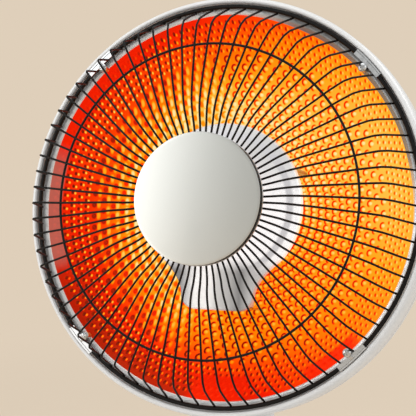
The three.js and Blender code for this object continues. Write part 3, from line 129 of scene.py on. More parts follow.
def add_object(name, shape, material, sharp=SHARP_EDGE):
    """Closes the doubles of a shape, turns its faces outwards and puts it in the scene."""
    bmesh.ops.remove_doubles(shape, verts=shape.verts, dist=DOUBLES)
    bmesh.ops.recalc_face_normals(shape, faces=shape.faces)
    mesh = bpy.data.meshes.new(name)
    shape.to_mesh(mesh)
    shape.free()
    mesh.shade_smooth()
    mesh.set_sharp_from_angle(angle=math.radians(sharp))
    mesh.materials.append(material)
    piece = bpy.data.objects.new(name, mesh)
    bpy.context.scene.collection.objects.link(piece)
    return piece


GROUND = "#dfcfba"
BOUNCE = "#d9d6d2"       # what the heater gets back from it: greyer, so that the white shells stay neutral
FLOOR_REACH = 3700       # flat part of the table from its middle, mm
COVE = 600               # radius of the curve up into the backdrop, mm
ground = new_finish("pale_beige_paper")  # even and matt, so that only the shadow shows on it
spot = add_node(ground, "TexCoord")
distance = add_node(ground, "VectorMath", {"operation": "LENGTH"}, {0: spot.outputs["Object"]})
far = add_node(ground, "MapRange", {"interpolation_type": "SMOOTHSTEP"},
               {"Value": distance.outputs["Value"], "From Min": 0.45, "From Max": 1.3})
path = add_node(ground, "LightPath")
seen = add_node(ground, "Math", {"operation": "MAXIMUM"},
                {0: path.outputs["Is Camera Ray"], 1: path.outputs["Is Glossy Ray"]})
seen = add_node(ground, "Math", {"operation": "MAXIMUM"},
                {0: seen, 1: path.outputs["Is Transmission Ray"]})
even = add_node(ground, "Math", {"operation": "MULTIPLY"}, {0: far, 1: seen})
paper = add_node(ground, "Mix", {"data_type": "RGBA"}, {0: seen, 6: linear(BOUNCE), 7: linear(GROUND)})
matt = add_node(ground, "BsdfDiffuse", {}, {"Color": paper.outputs[2]})
glow = add_node(ground, "Emission", {}, {"Color": linear(GROUND), "Strength": 1.0})
mixed = add_node(ground, "MixShader", {}, {0: even, 1: matt, 2: glow})
add_node(ground, "OutputMaterial", {}, {"Surface": mixed})

shape = bmesh.new()
turns = [i * math.pi / 24 for i in range(13)]
sweep = [(FLOOR_REACH + COVE * math.sin(a), COVE - COVE * math.cos(a)) for a in turns]
turn_profile(shape, [(0, 0), (600, 0), (1500, 0)] + sweep + [(FLOOR_REACH + COVE, 800)], 96, ring=False)
table = add_object("table_and_backdrop", shape, ground)
for polygon in table.data.polygons:
    polygon.use_smooth = True

studio = bpy.data.worlds.new("studio")
bpy.context.scene.world = studio
studio.use_nodes = True
studio.node_tree.nodes.clear()
path = add_node(studio, "LightPath")
open_air = add_node(studio, "Background", {}, {"Color": linear("#ffffff"), "Strength": 0.62})
in_metal = add_node(studio, "Background", {}, {"Color": linear("#c2c2bf"), "Strength": 1.0})
to_lens = add_node(studio, "Background", {}, {"Color": linear(GROUND), "Strength": 1.0})
mixed = add_node(studio, "MixShader", {},
                 {0: path.outputs["Is Glossy Ray"], 1: open_air, 2: in_metal})
mixed = add_node(studio, "MixShader", {}, {0: path.outputs["Is Camera Ray"], 1: mixed, 2: to_lens})
add_node(studio, "OutputWorld", {}, {"Surface": mixed})

# Name, place in metres from the head, size in metres and watts of each soft box
for name, x, y, z, size, watts in (("key_box", -1.5, -1.36, 0.5, 1.6, 17.0),
                                   ("fill_box", 1.6, -0.8, 0.9, 1.2, 6.0),
                                   ("top_box", 0.0, -0.2, 1.9, 1.4, 10.0),
                                   ("rear_box", 0.9, 1.6, 1.1, 1.0, 8.0)):
    lamp = bpy.data.lights.new(name, "AREA")
    lamp.shape = "SQUARE"
    lamp.size = size
    lamp.energy = watts
    holder = bpy.data.objects.new(name, lamp)
    holder.location = HEAD.translation + Vector((x, y, z))
    holder.rotation_euler = Vector((x, y, z)).to_track_quat("Z", "Y").to_euler()
    bpy.context.scene.collection.objects.link(holder)

# ---- Front bezel: a deep ring moulded in white ABS that frames the dish.
# Its lip stands in front of the guard's outer ring, and an inner ledge, with four screw holes, carries
# the flange of the dish.
DEPTHS = HEAD @ Matrix.Rotation(math.radians(-90), 4, "X")  # local Z runs back along the dish's axis
# Radii, and depths behind the middle of the guard's ring, mm
BEZEL_RADIUS = 165.5
BEZEL_INNER = 163.2
BEZEL_BACK = 20
LIP_RADIUS = 161
LIP_FRONT = -2.5
LEDGE_RADIUS = 153.8
LEDGE_FRONT = 4.6
LEDGE_BACK = 10.6


def soften(shape, width, segments=2, limit=28):
    """Rounds every edge sharper than a limit in degrees, to a width in mm."""
    sharp = [e for e in shape.edges if e.is_manifold and e.calc_face_angle() > math.radians(limit)]
    bmesh.ops.bevel(shape, geom=sharp, offset=width * MM, affect="EDGES", segments=segments,
                    profile=0.5, material=-1, clamp_overlap=True)


def dress(piece, body, slot, *nodes):
    """Says what a piece rides on and which solids it stands for, and hides them; its slot, the finish, is not
    used.
    """
    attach(piece, body)
    if nodes:
        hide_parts(*nodes)
    return piece


# Semi-gloss white ABS: an even pale shell with a faint texture of the mould and soft highlights
white_abs = new_finish("moulded_white_abs")
spot = add_node(white_abs, "TexCoord")
grain = add_node(white_abs, "TexNoise", {}, {"Vector": spot.outputs["Object"], "Scale": 1400.0,
                                                      "Detail": 2.0})
bump = add_node(white_abs, "Bump", {}, {"Strength": 0.12, "Distance": 0.00012, "Height": grain.outputs[0]})
cloud = add_node(white_abs, "TexNoise", {}, {"Vector": spot.outputs["Object"], "Scale": 18.0,
                                                      "Detail": 3.0})
gloss = add_node(white_abs, "MapRange", {}, {"Value": cloud.outputs[0], "To Min": 0.27, "To Max": 0.37})
tone = add_node(white_abs, "Mix", {"data_type": "RGBA"},
                {0: cloud.outputs[0], 6: linear("#e9e9e8"), 7: linear("#efefee")})
skin = add_node(white_abs, "BsdfPrincipled", {},
                {"Base Color": tone.outputs[2], "Roughness": gloss, "IOR": 1.53, "Normal": bump})
add_node(white_abs, "OutputMaterial", {}, {"Surface": skin})

shape = bmesh.new()
turn_profile(shape, [(LIP_RADIUS, -1.25), (162.25, LIP_FRONT), (164.25, -1.875), (BEZEL_RADIUS, 1.25),
                     (BEZEL_RADIUS, BEZEL_BACK), (BEZEL_INNER, BEZEL_BACK), (BEZEL_INNER, LEDGE_BACK),
                     (LEDGE_RADIUS, LEDGE_BACK), (LEDGE_RADIUS, LEDGE_FRONT), (LIP_RADIUS, LEDGE_FRONT)], 240)
soften(shape, 0.5, 3)
bmesh.ops.transform(shape, matrix=DEPTHS, verts=shape.verts)
dress(add_object("bezel_ring", shape, white_abs), "head", "white_plastic", "front_bezel")

# ---- Rear housing: a domed shell moulded in the same white ABS, clipped to the back of the bezel.
# Two rows of five slots let warm air out above and below its middle. It is drawn as a quarter oval
# that runs into a flat back.


def cut_out(piece, cutter):
    """Cuts the closed shapes of a cutter from a piece."""
    mesh = bpy.data.meshes.new("cutter")
    bmesh.ops.recalc_face_normals(cutter, faces=cutter.faces)
    cutter.to_mesh(mesh)
    cutter.free()
    tool = bpy.data.objects.new("cutter", mesh)
    bpy.context.scene.collection.objects.link(tool)
    cut = piece.modifiers.new("cut", "BOOLEAN")
    cut.operation = "DIFFERENCE"
    cut.solver = "EXACT"
    cut.object = tool
    graph = bpy.context.evaluated_depsgraph_get()
    result = bpy.data.meshes.new_from_object(piece.evaluated_get(graph))
    piece.modifiers.clear()
    whole = piece.data
    piece.data = result
    bpy.data.meshes.remove(whole)
    bpy.data.objects.remove(tool)
    bpy.data.meshes.remove(mesh)
    result.shade_smooth()
    result.set_sharp_from_angle(angle=math.radians(SHARP_EDGE))


def add_box(shape, low, high, round_edges=0.0, segments=3):
    """A box between two corners in mm, with its edges rounded."""
    size = [(b - a) * MM for a, b in zip(low, high)]
    middle = [(a + b) / 2 * MM for a, b in zip(low, high)]
    old = set(shape.verts)
    bmesh.ops.create_cube(shape, size=1, matrix=Matrix.Translation(middle) @ Matrix.Diagonal((*size, 1)))
    made = [v for v in shape.verts if v not in old]
    if round_edges:
        edges = list({e for v in made for e in v.link_edges})
        bmesh.ops.bevel(shape, geom=edges, offset=round_edges * MM, affect="EDGES", segments=segments,
                        profile=0.5, material=-1, clamp_overlap=True)
    return [v for v in shape.verts if v not in old]


HOUSING_WALL = 2.2
HOUSING_FRONT = 20.3
HOUSING_RISE = 70        # from its front edge back to its flat middle
FLAT_RADIUS = 60         # of the flat middle
OVAL_WIDTH = 105.5       # from the flat middle out to the front edge
SLOT_PITCH = 13
SLOT_WIDTH = 5
SLOT_HEIGHT = 22
SLOT_ROWS = (-34, 34)


def housing_arc(inset, steps=40):
    """The quarter oval of the housing, from its flat back to its front edge."""
    turns = [math.pi / 2 * (1 - i / steps) for i in range(steps + 1)]
    return [(FLAT_RADIUS + (OVAL_WIDTH - inset) * math.cos(t),
             HOUSING_FRONT + (HOUSING_RISE - inset) * math.sin(t)) for t in turns]


shape = bmesh.new()
outer_face, inner_face = housing_arc(0), housing_arc(HOUSING_WALL)[::-1]
turn_profile(shape, [(0, outer_face[0][1])] + outer_face + inner_face + [(0, inner_face[-1][1])], 240,
             DEPTHS, ring=False)
housing = add_object("rear_shell", shape, white_abs)
cutter = bmesh.new()
for row in SLOT_ROWS:
    for column in range(-2, 3):
        x = SLOT_PITCH * column
        add_box(cutter, (x - SLOT_WIDTH / 2, 70, row - SLOT_HEIGHT / 2),
                (x + SLOT_WIDTH / 2, 100, row + SLOT_HEIGHT / 2), 2.2, 4)
bmesh.ops.transform(cutter, matrix=HEAD, verts=cutter.verts)
cut_out(housing, cutter)
dress(housing, "head", "white_plastic", "rear_housing")

# ---- Reflector dish: bright aluminium sheet, pressed to a parabola and dimpled all over.
# Two sizes of dimple are rolled in: rows of round ones up to the middle and five rows of small ones at
# the edge. The flat flange stays polished and is screwed to the bezel's ledge.
CELL = 6.65              # pitch of the dimples' rows, mm
CELLS_PER_TURN = 82
INNER_START = 59.2       # the innermost row that shows past the shade
INNER_ROWS = 10
HIDDEN_ROWS = 8          # rows that run on behind the shade
DOT = 4.7                # pitch of the small dimples' rows
DOTS_PER_TURN = 164
DOT_START = 126.4
DOT_ROWS = 5
DISH_DEEP = 74           # depth of its middle behind the guard's ring
BOWL_RADIUS = 141        # where the parabola meets the side wall
BOWL_EDGE = 17.3         # depth there
DISH_EDGE = 152.6        # where the side wall meets the flange
FLANGE_FRONT = 3.5
FLANGE_BACK = 4.3
FLANGE_RADIUS = 160.7
SHEET = 0.8
DISH_DROP = (DISH_DEEP - BOWL_EDGE) / BOWL_RADIUS ** 2
DISH_STEPS = 328         # four for each large dimple and two for each small one


def dish_height(radius):
    """How far the dish's face lies behind the guard's ring at a radius, mm."""
    if radius <= BOWL_RADIUS:
        return DISH_DEEP - DISH_DROP * radius ** 2
    return BOWL_EDGE + (FLANGE_BACK - BOWL_EDGE) * (radius - BOWL_RADIUS) / (DISH_EDGE - BOWL_RADIUS)


def smooth_step(low, high, value):
    """0 below the low value, 1 above the high one, and a soft rise between them."""
    share = min(max((value - low) / (high - low), 0), 1)
    return share * share * (3 - 2 * share)


def near(angle, middle, half, soft):
    """1 within half a width of a middle angle, fading to 0 over a soft edge, all in degrees."""
    return 1 - smooth_step(half, half + soft, abs((angle - middle + 180) % 360 - 180))


def red_patch_at(radius, angle):
    """Two places at the lower edge where the painted glow is an even red, without dimples."""
    return max(smooth_step(132, 134.5, radius) * near(angle, 271, 7, 4),
               smooth_step(140, 143, radius) * near(angle, 309, 7, 5))


def painted_glow_at(radius, angle):
    """Brightness of the painted glow, 0 to 1: the tube's light is painted brightest on the dish's right and
    inner parts.
    """
    turn = math.radians(angle)
    inner = 0.82 + 0.21 * math.cos(turn - math.radians(125)) + 0.06 * math.cos(2 * turn + math.radians(17))
    outer = 0.45 + 0.30 * math.cos(turn - math.radians(35)) - 0.12 * math.cos(2 * turn - math.radians(185))
    reach = 112.7 - 14.4 * math.cos(turn - math.radians(125)) - 4.8 * math.cos(2 * turn - math.radians(9))
    heat = inner + (outer - inner) * smooth_step(reach - 34, reach + 34, radius)
    heat += smooth_step(134, 152, radius) * (0.08 * math.cos(turn + math.radians(69)) - 0.07)
    band = smooth_step(142.5, 145, radius) * near(angle, 141, 18, 12)
    return heat + (0.29 - heat) * max(red_patch_at(radius, angle), band)


def streak_at(angle):
    """How far a dimple's painted crescent of shade gives way to a painted red blot of shade and a painted
    yellow highlight streak: on the dish's left.
    """
    return smooth_step(0.1, 0.6, math.cos(math.radians(angle - 175)))


def spark_at(angle):
    """Strength of the painted highlights (sparks) in the small dimples: strongest on the dark left side."""
    return 0.16 + 0.36 * smooth_step(-0.2, 0.75, math.cos(math.radians(angle - 185)))


def painted_flange_reflection(angle):
    """Brightness of the room's reflection painted on the flange: the dark of the room shows in it at the upper
    right, pale walls elsewhere.
    """
    return 1 - 0.85 * near(angle, 44, 22, 24) - 0.3 * near(angle, 292, 14, 16)


def past_glow(radius, angle):
    """How far a place lies past the edge of the painted glow, mm: at the upper right the side wall stays grey
    too.
    """
    return radius - DISH_EDGE + 2.6 * near(angle, 42, 22, 30)


def relief_at(radius, angle):
    """How clear the dimples' painted marks are: 1 clear, 0 none, below 0 a painted pale haze where the wall
    mirrors the room.
    """
    band = smooth_step(143.5, 145.5, radius) * near(angle, 162, 34, 12)
    haze = smooth_step(143.5, 145.5, radius) * near(angle, 184, 12, 14)
    return 1 - max(0.85 * band, red_patch_at(radius, angle)) - 1.1 * haze


# Start radius, pitch and dimples per turn of each row, and whether it is shifted by half a dimple
rows = []
for i in range(-HIDDEN_ROWS, INNER_ROWS):
    rows.append((INNER_START + CELL * i, CELL, CELLS_PER_TURN, i % 2))
rows.append((INNER_START + CELL * INNER_ROWS, DOT_START - INNER_START - CELL * INNER_ROWS, 0, 0))
for i in range(DOT_ROWS):
    rows.append((DOT_START + DOT * i, DOT, DOTS_PER_TURN, i % 2))
rows.append((DOT_START + DOT * DOT_ROWS, DISH_EDGE - DOT_START - DOT * DOT_ROWS, 0, 0))

radii = [0.0, 2.0, 4.0]
for start, pitch, count, odd in rows:
    parts = 4 if count else 2
    radii += [start + pitch * i / parts for i in range(parts)]
face = [(r, dish_height(r)) for r in radii]
rim = [(DISH_EDGE, FLANGE_BACK), (152.8, 4.0), (153.05, 3.7), (153.4, FLANGE_FRONT), (156, FLANGE_FRONT),
       (FLANGE_RADIUS - 0.2, FLANGE_FRONT), (FLANGE_RADIUS, 3.65), (FLANGE_RADIUS, 4.15),
       (FLANGE_RADIUS - 0.2, FLANGE_BACK), (153.8, FLANGE_BACK)]
rear_radii = [153.1, 147, 141.4] + [BOWL_RADIUS * (1 - i / 16) for i in range(1, 17)]
rear = [(r, dish_height(r) + SHEET) for r in rear_radii]
shape = bmesh.new()
turn_profile(shape, face + rim + rear, DISH_STEPS, ring=False)
bmesh.ops.remove_doubles(shape, verts=shape.verts, dist=DOUBLES)

# The UV map holds how far a place lies from the middle of its dimple, in units of 10 mm. Small dimples
# are moved aside by 2, plain sheet in the glow lies at 5, and the flange and the back at 9.
UV_UNIT = 10
SMALL_ASIDE = Vector((2, 0))
PLAIN = (5, 5)
UNLIT = (9, 9)
cell_uv = shape.loops.layers.uv.new("dimple")
# The glow layer holds the brightness of the painted glow, the strength of painted streaks and of painted
# highlights (sparks), and how clear the dimples are. The edge layer holds how far a place lies past the edge of
# the glow, and the brightness of the room's reflection painted on the flange.
glow_layer = shape.verts.layers.float_color.new("glow")
edge_layer = shape.verts.layers.float_color.new("edge")
for v in shape.verts:
    radius = math.hypot(v.co.x, v.co.y) / MM
    # Seen from the front, the angle runs from +X towards the head's own up, which is -Y here
    angle = math.degrees(math.atan2(-v.co.y, v.co.x))
    v[edge_layer] = (past_glow(radius, angle), painted_flange_reflection(angle), 0, 1)
    v[glow_layer] = (painted_glow_at(radius, angle), streak_at(angle), spark_at(angle), relief_at(radius, angle))
for f in shape.faces:
    middle = f.calc_center_median()
    radius = math.hypot(middle.x, middle.y) / MM
    front_side = abs(middle.z / MM - dish_height(radius)) < 0.3 and radius < DISH_EDGE
    row = next((r for r in rows if r[0] <= radius < r[0] + r[1]), None)
    if not front_side or not row or not row[2]:
        for loop in f.loops:
            loop[cell_uv].uv = PLAIN if front_side else UNLIT
        continue
    start, pitch, count, odd = row
    turn = math.atan2(-middle.y, middle.x) % math.tau
    cell = math.floor(turn / math.tau * count - 0.5 * odd) + 0.5 + 0.5 * odd
    centre_turn = cell / count * math.tau
    centre = Vector((math.cos(centre_turn), math.sin(centre_turn))) * (start + pitch / 2)
    for loop in f.loops:
        offset = Vector((loop.vert.co.x / MM, -loop.vert.co.y / MM)) - centre
        loop[cell_uv].uv = offset / UV_UNIT + (SMALL_ASIDE if count == DOTS_PER_TURN else Vector((0, 0)))
bmesh.ops.transform(shape, matrix=DEPTHS, verts=shape.verts)

# Bright-dipped aluminium with the tube's glow painted on as emission: each dimple has a painted red
# crescent of shade on one side and a painted yellow highlight on the other, and the flange outside the glow is
# pale and glossy
glow_painted_aluminium = new_finish("dimpled_aluminium_with_painted_glow")
cell = add_node(glow_painted_aluminium, "UVMap", {"uv_map": "dimple"})
split = add_node(glow_painted_aluminium, "SeparateXYZ", {}, {0: cell})
small = add_node(glow_painted_aluminium, "Math", {"operation": "GREATER_THAN"}, {0: split.outputs[0], 1: 1.0})
shift = add_node(glow_painted_aluminium, "Math", {"operation": "MULTIPLY"}, {0: small, 1: -SMALL_ASIDE.x})
across = add_node(glow_painted_aluminium, "Math", {"operation": "ADD"}, {0: split.outputs[0], 1: shift})
across = add_node(glow_painted_aluminium, "Math", {"operation": "MULTIPLY"}, {0: across, 1: UV_UNIT})
rise = add_node(glow_painted_aluminium, "Math", {"operation": "MULTIPLY"}, {0: split.outputs[1], 1: UV_UNIT})
offset = add_node(glow_painted_aluminium, "CombineXYZ", {}, {0: across, 1: rise})
reach = add_node(glow_painted_aluminium, "VectorMath", {"operation": "LENGTH"}, {0: offset})
glow = add_node(glow_painted_aluminium, "Attribute", {"attribute_name": "glow"})
heat = add_node(glow_painted_aluminium, "SeparateColor", {}, {0: glow.outputs["Color"]})
# The crescent of the large dimples, painted shade: an arc 2.3 mm from the middle, darkest at the upper left
ring_gap = add_node(glow_painted_aluminium, "Math", {"operation": "SUBTRACT"}, {0: reach.outputs["Value"], 1: 2.3})
ring_gap = add_node(glow_painted_aluminium, "Math", {"operation": "ABSOLUTE"}, {0: ring_gap})
arc = add_node(glow_painted_aluminium, "MapRange", {"interpolation_type": "SMOOTHSTEP"},
               {"Value": ring_gap, "From Min": 1.1, "From Max": 0.4})
facing = add_node(glow_painted_aluminium, "VectorMath", {"operation": "DOT_PRODUCT"}, {0: offset, 1: (-0.86, 0.36, 0)})
side = add_node(glow_painted_aluminium, "MapRange", {"interpolation_type": "SMOOTHSTEP"},
                {"Value": facing.outputs["Value"], "From Min": -1.5, "From Max": 1.4})
crescent = add_node(glow_painted_aluminium, "Math", {"operation": "MULTIPLY"}, {0: arc, 1: side})
crescent = add_node(glow_painted_aluminium, "Math", {"operation": "MULTIPLY"}, {0: crescent, 1: -0.47})
# A painted highlight lifts the glow in the hollow of each large dimple
hollow_at = add_node(glow_painted_aluminium, "VectorMath", {"operation": "DISTANCE"}, {0: offset, 1: (0.6, 0.2, 0)})
hollow = add_node(glow_painted_aluminium, "MapRange", {"interpolation_type": "SMOOTHSTEP"},
                  {"Value": hollow_at.outputs["Value"], "From Min": 2.4, "From Max": 0.4, "To Max": 0.2})
crescent = add_node(glow_painted_aluminium, "Math", {"operation": "ADD"}, {0: crescent, 1: hollow})
# On the left each large dimple shows a painted red blot of shade and beside it a painted yellow upright
# highlight
drawn = add_node(glow_painted_aluminium, "VectorMath", {"operation": "MULTIPLY"}, {0: offset, 1: (0.67, 0.5, 0)})
blot_at = add_node(glow_painted_aluminium, "VectorMath", {"operation": "DISTANCE"}, {0: drawn, 1: (-0.75, -0.2, 0)})
blot = add_node(glow_painted_aluminium, "MapRange", {"interpolation_type": "SMOOTHSTEP"},
                {"Value": blot_at.outputs["Value"], "From Min": 1.6, "From Max": 0.6, "To Max": -0.3})
drawn = add_node(glow_painted_aluminium, "VectorMath", {"operation": "MULTIPLY"}, {0: offset, 1: (0.95, 0.4, 0)})
line_at = add_node(glow_painted_aluminium, "VectorMath", {"operation": "DISTANCE"}, {0: drawn, 1: (1.75, 0.15, 0)})
bright_line = add_node(glow_painted_aluminium, "MapRange", {"interpolation_type": "SMOOTHSTEP"},
                       {"Value": line_at.outputs["Value"], "From Min": 1.9, "From Max": 0.6, "To Max": 0.32})
streak = add_node(glow_painted_aluminium, "Math", {"operation": "ADD"}, {0: blot, 1: bright_line})
large = add_node(glow_painted_aluminium, "Mix", {"data_type": "FLOAT"}, {0: heat.outputs[1], 2: crescent, 3: streak})
# The small dimples: a painted red dot of shade on the left and a painted upright highlight (spark) on the right
squeezed = add_node(glow_painted_aluminium, "VectorMath", {"operation": "MULTIPLY"}, {0: offset, 1: (1.3, 0.85, 1)})
dot_at = add_node(glow_painted_aluminium, "VectorMath", {"operation": "DISTANCE"}, {0: squeezed, 1: (-1.0, 0.2, 0)})
dot = add_node(glow_painted_aluminium, "MapRange", {"interpolation_type": "SMOOTHSTEP"},
               {"Value": dot_at.outputs["Value"], "From Min": 1.75, "From Max": 0.5, "To Max": -0.36})
spark_gap = add_node(glow_painted_aluminium, "VectorMath", {"operation": "DISTANCE"}, {0: squeezed, 1: (1.3, -0.1, 0)})
spark = add_node(glow_painted_aluminium, "MapRange", {"interpolation_type": "SMOOTHSTEP"},
                 {"Value": spark_gap.outputs["Value"], "From Min": 1.5, "From Max": 0.3})
spark = add_node(glow_painted_aluminium, "Math", {"operation": "MULTIPLY"}, {0: spark, 1: heat.outputs[2]})
dots = add_node(glow_painted_aluminium, "Math", {"operation": "ADD"}, {0: dot, 1: spark})
relief = add_node(glow_painted_aluminium, "Mix", {"data_type": "FLOAT"}, {0: small, 2: large, 3: dots})
# The plain strip between the two patterns and the smooth edge have no dimples
plain = add_node(glow_painted_aluminium, "Math", {"operation": "GREATER_THAN"}, {0: split.outputs[1], 1: 3.0})
relief = add_node(glow_painted_aluminium, "Mix", {"data_type": "FLOAT"}, {0: plain, 2: relief, 3: 0.0})
clear = add_node(glow_painted_aluminium, "MapRange", {}, {"Value": glow.outputs["Alpha"]})
relief = add_node(glow_painted_aluminium, "Math", {"operation": "MULTIPLY"}, {0: relief, 1: clear})
level = add_node(glow_painted_aluminium, "Math", {"operation": "ADD"}, {0: heat.outputs[0], 1: relief})
ramp = add_node(glow_painted_aluminium, "ValToRGB", {}, {0: level})
stops = ((0.0, "#4a0d08"), (0.14, "#a01205"), (0.30, "#f21800"), (0.44, "#ff4a00"), (0.58, "#ff8600"),
         (0.72, "#ffab18"), (0.86, "#ffcf52"), (1.0, "#fff0a8"))
while len(ramp.color_ramp.elements) < len(stops):
    ramp.color_ramp.elements.new(0.5)
for element, (position, code) in zip(ramp.color_ramp.elements, stops):
    element.position = position
    element.color = linear(code)
# A pale haze of the room's reflection is painted over the glow where the wall mirrors it
haze = add_node(glow_painted_aluminium, "MapRange", {}, {"Value": glow.outputs["Alpha"], "From Min": 0.0,
                                                         "From Max": -1.0, "To Max": 0.85})
shine = add_node(glow_painted_aluminium, "Mix", {"data_type": "RGBA"}, {0: haze, 6: ramp, 7: linear("#a4685c")})
edge = add_node(glow_painted_aluminium, "Attribute", {"attribute_name": "edge"})
edge = add_node(glow_painted_aluminium, "SeparateColor", {}, {0: edge.outputs["Color"]})
lit_zone = add_node(glow_painted_aluminium, "Math", {"operation": "LESS_THAN"}, {0: split.outputs[1], 1: 7.0})
inside = add_node(glow_painted_aluminium, "Math", {"operation": "LESS_THAN"}, {0: edge.outputs[0], 1: 0.0})
lit_zone = add_node(glow_painted_aluminium, "Math", {"operation": "MULTIPLY"}, {0: lit_zone, 1: inside})
height = add_node(glow_painted_aluminium, "MapRange", {"interpolation_type": "SMOOTHSTEP"},
                  {"Value": reach.outputs["Value"], "From Min": 2.6, "From Max": 0.4})
bump = add_node(glow_painted_aluminium, "Bump", {"invert": True},
                {"Strength": 0.7, "Distance": 0.0006, "Height": height})
# The flange's colour holds a painted reflection of the room: dark at the upper right, a little darker at the
# lower right, pale elsewhere
flange = add_node(glow_painted_aluminium, "Mix", {"data_type": "RGBA"},
                  {0: edge.outputs[1], 6: linear("#6e6e6e"), 7: linear("#f6f6f5")})
# Inside the glow the base colour is a painted reddish tint of the tube's light, and the emission is the painted
# glow itself
sheet = add_node(glow_painted_aluminium, "Mix", {"data_type": "RGBA"},
                 {0: lit_zone, 6: flange.outputs[2], 7: linear("#7a2408")})
mirror = add_node(glow_painted_aluminium, "MapRange", {}, {"Value": lit_zone, "To Min": 0.25, "To Max": 1.0})
strength = add_node(glow_painted_aluminium, "Math", {"operation": "MULTIPLY"}, {0: lit_zone, 1: 0.92})
gloss = add_node(glow_painted_aluminium, "MapRange", {}, {"Value": lit_zone, "To Min": 0.14, "To Max": 0.3})
skin = add_node(glow_painted_aluminium, "BsdfPrincipled", {},
                {"Base Color": sheet.outputs[2], "Metallic": mirror, "Roughness": gloss, "Normal": bump,
                 "Emission Color": shine.outputs[2], "Emission Strength": strength})
add_node(glow_painted_aluminium, "OutputMaterial", {}, {"Surface": skin})
dress(add_object("dish", shape, glow_painted_aluminium, 40), "head", "bright_aluminium", "reflector_dish")

# ---- Posts, bracket and holders: what carries the shade and the tube in front of the dish.
# Two steel posts and a folded steel shelf are riveted to the dish. Two steatite sockets on the shelf
# hold the legs of the quartz tube.

# Zinc-plated steel: grey with a cool cast, satin, with fine mottling
zinc = new_finish("zinc_plated_steel")
spot = add_node(zinc, "TexCoord")
mottle = add_node(zinc, "TexNoise", {}, {"Vector": spot.outputs["Object"], "Scale": 420.0, "Detail": 3.0})
tone = add_node(zinc, "Mix", {"data_type": "RGBA"},
                {0: mottle.outputs[0], 6: linear("#bcbec0"), 7: linear("#dcdee0")})
gloss = add_node(zinc, "MapRange", {}, {"Value": mottle.outputs[0], "To Min": 0.2, "To Max": 0.38})
skin = add_node(zinc, "BsdfPrincipled", {},
                {"Base Color": tone.outputs[2], "Metallic": 1.0, "Roughness": gloss})
add_node(zinc, "OutputMaterial", {}, {"Surface": skin})

POST_CIRCLE = 57         # where the posts stand, from the middle
POST_RADIUS = 2.5
POST_END = 64.4
shape = bmesh.new()
for angle in (35, 145):
    at = Vector((math.cos(math.radians(angle)), 0, math.sin(math.radians(angle)))) * POST_CIRCLE * MM
    turn_profile(shape, [(0, 0.8), (2.3, 0.8), (POST_RADIUS, 1.0), (POST_RADIUS, 64.0), (2.3, POST_END),
                         (0, POST_END)], 24,
                 HEAD @ Matrix.Translation(at) @ Matrix.Rotation(math.radians(-90), 4, "X"), ring=False)
dress(add_object("shade_posts", shape, zinc), "head", "zinc_steel", "shade_post_right", "shade_post_left")

SHELF_HALF = 21
SHELF_TOP = -78.3
SHELF_UNDER = -79.8
shelf_end = dish_height(80) - 0.6
shape = bmesh.new()
add_box(shape, (-SHELF_HALF, 0.8, SHELF_UNDER), (SHELF_HALF, shelf_end, SHELF_TOP), 0.4, 2)
add_box(shape, (-SHELF_HALF, 27.8, SHELF_UNDER), (SHELF_HALF, 29.3, -62), 0.4, 2)
bmesh.ops.transform(shape, matrix=HEAD, verts=shape.verts)
dress(add_object("tube_shelf", shape, zinc), "head", "zinc_steel", "element_bracket")

# Unglazed steatite: a chalky cream ceramic with fine pores
steatite = new_finish("unglazed_steatite")
spot = add_node(steatite, "TexCoord")
pores = add_node(steatite, "TexNoise", {}, {"Vector": spot.outputs["Object"], "Scale": 900.0, "Detail": 4.0})
tone = add_node(steatite, "Mix", {"data_type": "RGBA"},
                {0: pores.outputs[0], 6: linear("#e2ddcf"), 7: linear("#f1ede2")})
bump = add_node(steatite, "Bump", {}, {"Strength": 0.3, "Distance": 0.0002, "Height": pores.outputs[0]})
skin = add_node(steatite, "BsdfPrincipled", {},
                {"Base Color": tone.outputs[2], "Roughness": 0.78, "Normal": bump})
add_node(steatite, "OutputMaterial", {}, {"Surface": skin})

LEG_SIDE = 15            # how far each leg of the tube stands from the middle
SOCKET_HALF = 7.7
shape = bmesh.new()
for x in (-LEG_SIDE, LEG_SIDE):
    add_box(shape, (x - SOCKET_HALF, 12.5, -78), (x + SOCKET_HALF, 27.5, -62), 1.6, 4)
bmesh.ops.transform(shape, matrix=HEAD, verts=shape.verts)
dress(add_object("steatite_sockets", shape, steatite), "head", "ceramic",
      "tube_holder_right", "tube_holder_left")

# ---- Heating element: a resistance coil inside a clear quartz tube, bent to an open ring.
# Its two legs stand in the sockets. At work the coil glows orange and lights the whole tube.


def bend(points, radius, steps=6):
    """Rounds the inner corners of a path in mm to about a radius."""
    points = [Vector(p) for p in points]
    made = [points[0]]
    for before, corner, after in zip(points, points[1:], points[2:]):
        one = before - corner
        two = after - corner
        half = one.angle(two) / 2
        cut = min(radius / math.tan(half), one.length * 0.48, two.length * 0.48)
        start = corner + one.normalized() * cut
        end = corner + two.normalized() * cut
        for i in range(steps + 1):
            t = i / steps
            made.append(start * (1 - t) ** 2 + corner * 2 * t * (1 - t) + end * t ** 2)
    return made + [points[-1]]


